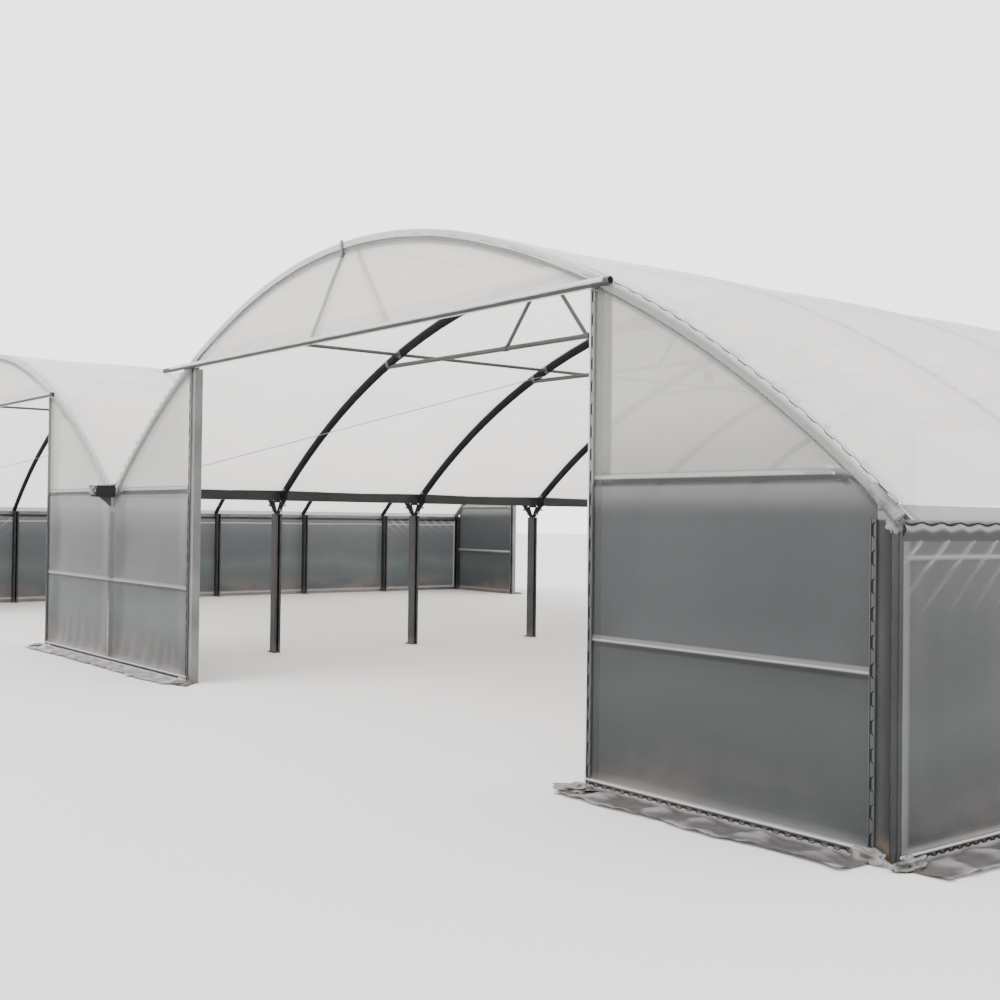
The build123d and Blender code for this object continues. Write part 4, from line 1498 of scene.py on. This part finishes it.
class GREENHOUSE_OT_fittings(bpy.types.Operator):
    """Adds the clamps, bolts, turnbuckles and end plates of the steelwork"""

    bl_idname = "greenhouse.fittings"
    bl_label = "Clamps and bolts"

    def strap(self, centre, side, distance, line, length=0.045):
        """Strap round a hoop, at a distance from the span's centre line."""
        run = run_at(distance)
        x, z = on_arch(run, 0)
        ahead = on_arch(run + 0.01, 0)
        way = Vector((side * (ahead[0] - x), 0, ahead[1] - z)).normalized()
        start = Vector((centre + side * x, line, z)) - way * length / 2
        inward = Vector((way.z, 0, -way.x)) * side
        section = oval(-0.0528, 0, 0.105, hoop_width + 0.008, 14)
        return prism([start - inward * out + Vector((0, y, 0)) for out, y in section], way * length)

    def straps(self):
        """Straps on the inner hoops where purlins and ties meet them."""
        tie_end = next(d / 1000 for d in range(1500, 4500) if arch_height(d / 1000) - 0.08 < tie_height)
        shapes = []
        for centre in span_centres:
            for line in inner_lines:
                shapes.append(self.strap(centre, 1, 0.0, line, 0.05))
                shapes += [self.strap(centre, side, haunch_purlin_offset, line, 0.05) for side in (-1, 1)]
            shapes += [self.strap(centre, side, tie_end, line) for line in inner_lines for side in (-1, 1)]
        return merged(shapes)

    def collars(self):
        """Collars on the ties, where the crown struts meet them."""
        places = [
            standing((centre + side * (strut_foot + 0.01), line, tie_height), (1, 0, 0))
            for centre in span_centres
            for line in inner_lines
            for side in (-1, 1)
        ]
        return copied(ring(tie_radius + 0.007, tie_radius - 0.002, 0.05), places)

    def bolts(self, size):
        """Bolt heads on the valley brackets, the hoops' feet and the foot plates."""
        places = []
        for line in frame_lines:
            for side in (-1, 1):
                for face in (-1, 1):
                    for share, up in ((0.25, 0.018), (0.8, 0.02)):
                        spot = (side * (0.055 + 0.16 * share), line + face * bracket_half)
                        places.append(standing((*spot, seat_height + 0.1 * share + up), (0, face, 0)))
        eave_foot, valley_foot = 4.76, 4.62
        for line in (*inner_lines, -gable_hoop_line, gable_hoop_line):
            faces = [face for face in (-1, 1) if abs(line) < half_length or face * line < 0]
            for centre in span_centres:
                for side in (-1, 1):
                    foot = eave_foot if side * centre > 0 else valley_foot
                    x, z = on_arch(run_at(foot), -hoop_depth / 2)
                    for face in faces:
                        spot = (centre + side * x, line + face * (hoop_width / 2 - 0.001), z)
                        places.append(standing(spot, (0, face, 0)))
        for line in inner_lines:
            for column, way in ((0, -1), (2 * half_span, -1), (-2 * half_span, 1)):
                for across in (-0.022, 0.022):
                    places.append(standing((column + way * 0.09, line + across, 0.008), (0, 0, 1)))
        return copied(bolt_head(size), places)

    def plates(self):
        """End plates of the gable rails, and the gussets under the gutter's ends."""
        shapes = []
        for end in (-1, 1):
            for centre in span_centres:
                for side in (-1, 1):
                    near = centre + side * (post_centre + post_width / 2)
                    for level, radius in rail_radii.items():
                        middle = Vector((near + side * 0.003, end * (gable_face - radius), level))
                        half = Vector((0.003, radius * 0.98, radius + 0.02))
                        shapes.append(block(middle - half, middle + half))
            corners = ((0.01, 0), (0.15, 0), (0.01, 0.11))
            gusset = [(0.004, end * (film_face + out), gutter_floor - down) for out, down in corners]
            shapes.append(prism(gusset, (-0.008, 0, 0)))
        return merged(shapes)

    def tabs(self):
        """Bent tabs at the crowns of the gable hoops."""
        shapes = []
        for end in (-1, 1):
            for centre, way in ((half_span, -1), (-half_span, 1)):
                spot = (centre + way * 0.1, end * (film_face + 0.02))
                line = [(*spot, crown_height - drop) for drop in (0.12, 0.06, -0.012)]
                shapes.append(tube(line, 0.013, 8, 8))
        return merged(shapes)

    def turnbuckles(self):
        """Turnbuckle and two wire clips near the foot of each wind brace cable."""
        inset = hoop_depth + 0.0043
        foot_x, foot_z = on_arch(run_at(half_span - 0.3), -inset)
        head_x, head_z = on_arch(run_at(haunch_purlin_offset), -inset)

        def barrel(u, turn):
            return 0.0085 - 0.004 * ease(abs(u - 0.5) * 8 - 2.4)

        shapes = []
        for centre in span_centres:
            for side in (-1, 1):
                for end in (-1, 1):
                    foot = Vector((centre + side * foot_x, end * (gable_face - hoop_width), foot_z))
                    head = Vector((centre + side * head_x, end * bay_length, head_z))
                    way = (head - foot).normalized()
                    body = [foot + way * along for along in (0.28, 0.4, 0.52)]
                    shapes.append(tube(body, barrel, 16, 8))
                    clips = [standing(foot + way * along, way) for along in (0.6, 0.66)]
                    shapes.append(copied(ring(0.011, 0.003, 0.014, 8), clips))
        return merged(shapes)

    def execute(self, context):
        bolt_size = context.scene.greenhouse_steel.bolt
        for name, shape, finish, smooth in (
            ("hoop_straps", self.straps(), "clamp", 30),
            ("tube_clamps", self.collars(), "clamp", 30),
            ("bolt_heads", self.bolts(bolt_size), "bolt", 30),
            ("rail_end_plates", self.plates(), "clamp", 30),
            ("crown_tabs", self.tabs(), "zinc", 50),
            ("cable_turnbuckles", self.turnbuckles(), "cable", 35),
        ):
            add_piece(name, shape, finishes[finish], smooth=smooth)
        return {"FINISHED"}


class GREENHOUSE_OT_stage(bpy.types.Operator):
    """Sets the floor, the light and the camera"""

    bl_idname = "greenhouse.stage"
    bl_label = "Stage"

    def floor(self, context, colour):
        """Wide pale floor just below the ground line."""
        shape = bmesh.new()
        bmesh.ops.create_circle(shape, cap_ends=True, segments=96, radius=120)
        bmesh.ops.translate(shape, verts=shape.verts, vec=(0, 0, -0.001))
        f = Finish("floor")
        base = f.ramp(f.noise(0.12, 3), ((0.3, shaded(colour, 0.97)), (0.7, tuple(colour))))
        shader = f.node("ShaderNodeBsdfPrincipled", {"Base Color": base, "Roughness": 0.9})
        mesh = as_mesh(shape, "floor")
        mesh.materials.append(f.close(shader.outputs[0]))
        ground = bpy.data.objects.new("floor", mesh)
        context.scene.collection.objects.link(ground)

    def light(self, context, sky_strength, sun_strength):
        """Even pale sky with a soft sun from the right."""
        world = bpy.data.worlds.new("sky")
        world.use_nodes = True
        sky = world.node_tree.nodes["Background"]
        sky.inputs["Color"].default_value = (0.86, 0.85, 0.84, 1)
        sky.inputs["Strength"].default_value = sky_strength
        context.scene.world = world
        lamp = bpy.data.lights.new("soft_key", "SUN")
        lamp.energy = sun_strength
        lamp.angle = radians(35)
        key = bpy.data.objects.new("soft_key", lamp)
        key.rotation_euler = (radians(38), radians(14), radians(-18))
        context.scene.collection.objects.link(key)

    def camera(self, context, focal_length):
        """Camera at eye level in front of the right corner, as in the photo."""
        place = (13.17, -gable_face - 5.272, 1.63)
        yaw, pitch, roll = -0.927, 0.014, 0.013
        lens = bpy.data.cameras.new("camera")
        lens.lens = focal_length
        lens.sensor_width = 36
        lens.shift_x = 0.05
        lens.clip_end = 400
        camera = bpy.data.objects.new("camera", lens)
        ahead = Vector((sin(yaw) * cos(pitch), cos(yaw) * cos(pitch), sin(pitch)))
        right = Vector((cos(yaw), -sin(yaw), 0))
        up = right.cross(ahead)
        turned_right = right * cos(roll) + up * sin(roll)
        turned_up = up * cos(roll) - right * sin(roll)
        turn = Matrix((turned_right, turned_up, -ahead)).transposed().to_4x4()
        camera.matrix_world = Matrix.Translation(place) @ turn
        context.scene.collection.objects.link(camera)
        context.scene.camera = camera

    def execute(self, context):
        setup = context.scene.greenhouse_stage
        self.floor(context, setup.floor_colour)
        self.light(context, setup.light, setup.sun)
        self.camera(context, setup.focal_length)
        return {"FINISHED"}


operators = (
    GREENHOUSE_OT_finishes,
    GREENHOUSE_OT_stage,
    GREENHOUSE_OT_hoops,
    GREENHOUSE_OT_roof_films,
    GREENHOUSE_OT_hems,
    GREENHOUSE_OT_gable_films,
    GREENHOUSE_OT_side_films,
    GREENHOUSE_OT_skirts,
    GREENHOUSE_OT_locks,
    GREENHOUSE_OT_fittings,
)


class GREENHOUSE_PT_panel(bpy.types.Panel):
    """Lists the steps and settings"""

    bl_idname = "GREENHOUSE_PT_panel"
    bl_label = "Greenhouse"
    bl_space_type = "VIEW_3D"
    bl_region_type = "UI"
    bl_category = "Greenhouse"

    def draw(self, context):
        for setting, kind in groups.items():
            for name in kind.__annotations__:
                self.layout.prop(getattr(context.scene, setting), name)
        for operator in operators:
            self.layout.operator(operator.bl_idname)


groups = {
    "greenhouse_film": GreenhouseFilm,
    "greenhouse_steel": GreenhouseSteel,
    "greenhouse_stage": GreenhouseStage,
}


def register():
    """Adds the settings, steps and panel to Blender."""
    for kind in (*groups.values(), *operators, GREENHOUSE_PT_panel):
        bpy.utils.register_class(kind)
    for name, group in groups.items():
        setattr(bpy.types.Scene, name, PointerProperty(type=group))


def unregister():
    """Takes them out again."""
    for name in groups:
        delattr(bpy.types.Scene, name)
    for kind in (GREENHOUSE_PT_panel, *reversed(operators), *groups.values()):
        bpy.utils.unregister_class(kind)


def main():
    """Runs every step."""
    register()
    for operator in operators:
        step = operator.bl_idname.split(".")[1]
        getattr(bpy.ops.greenhouse, step)()


if __name__ == "__main__":
    main()
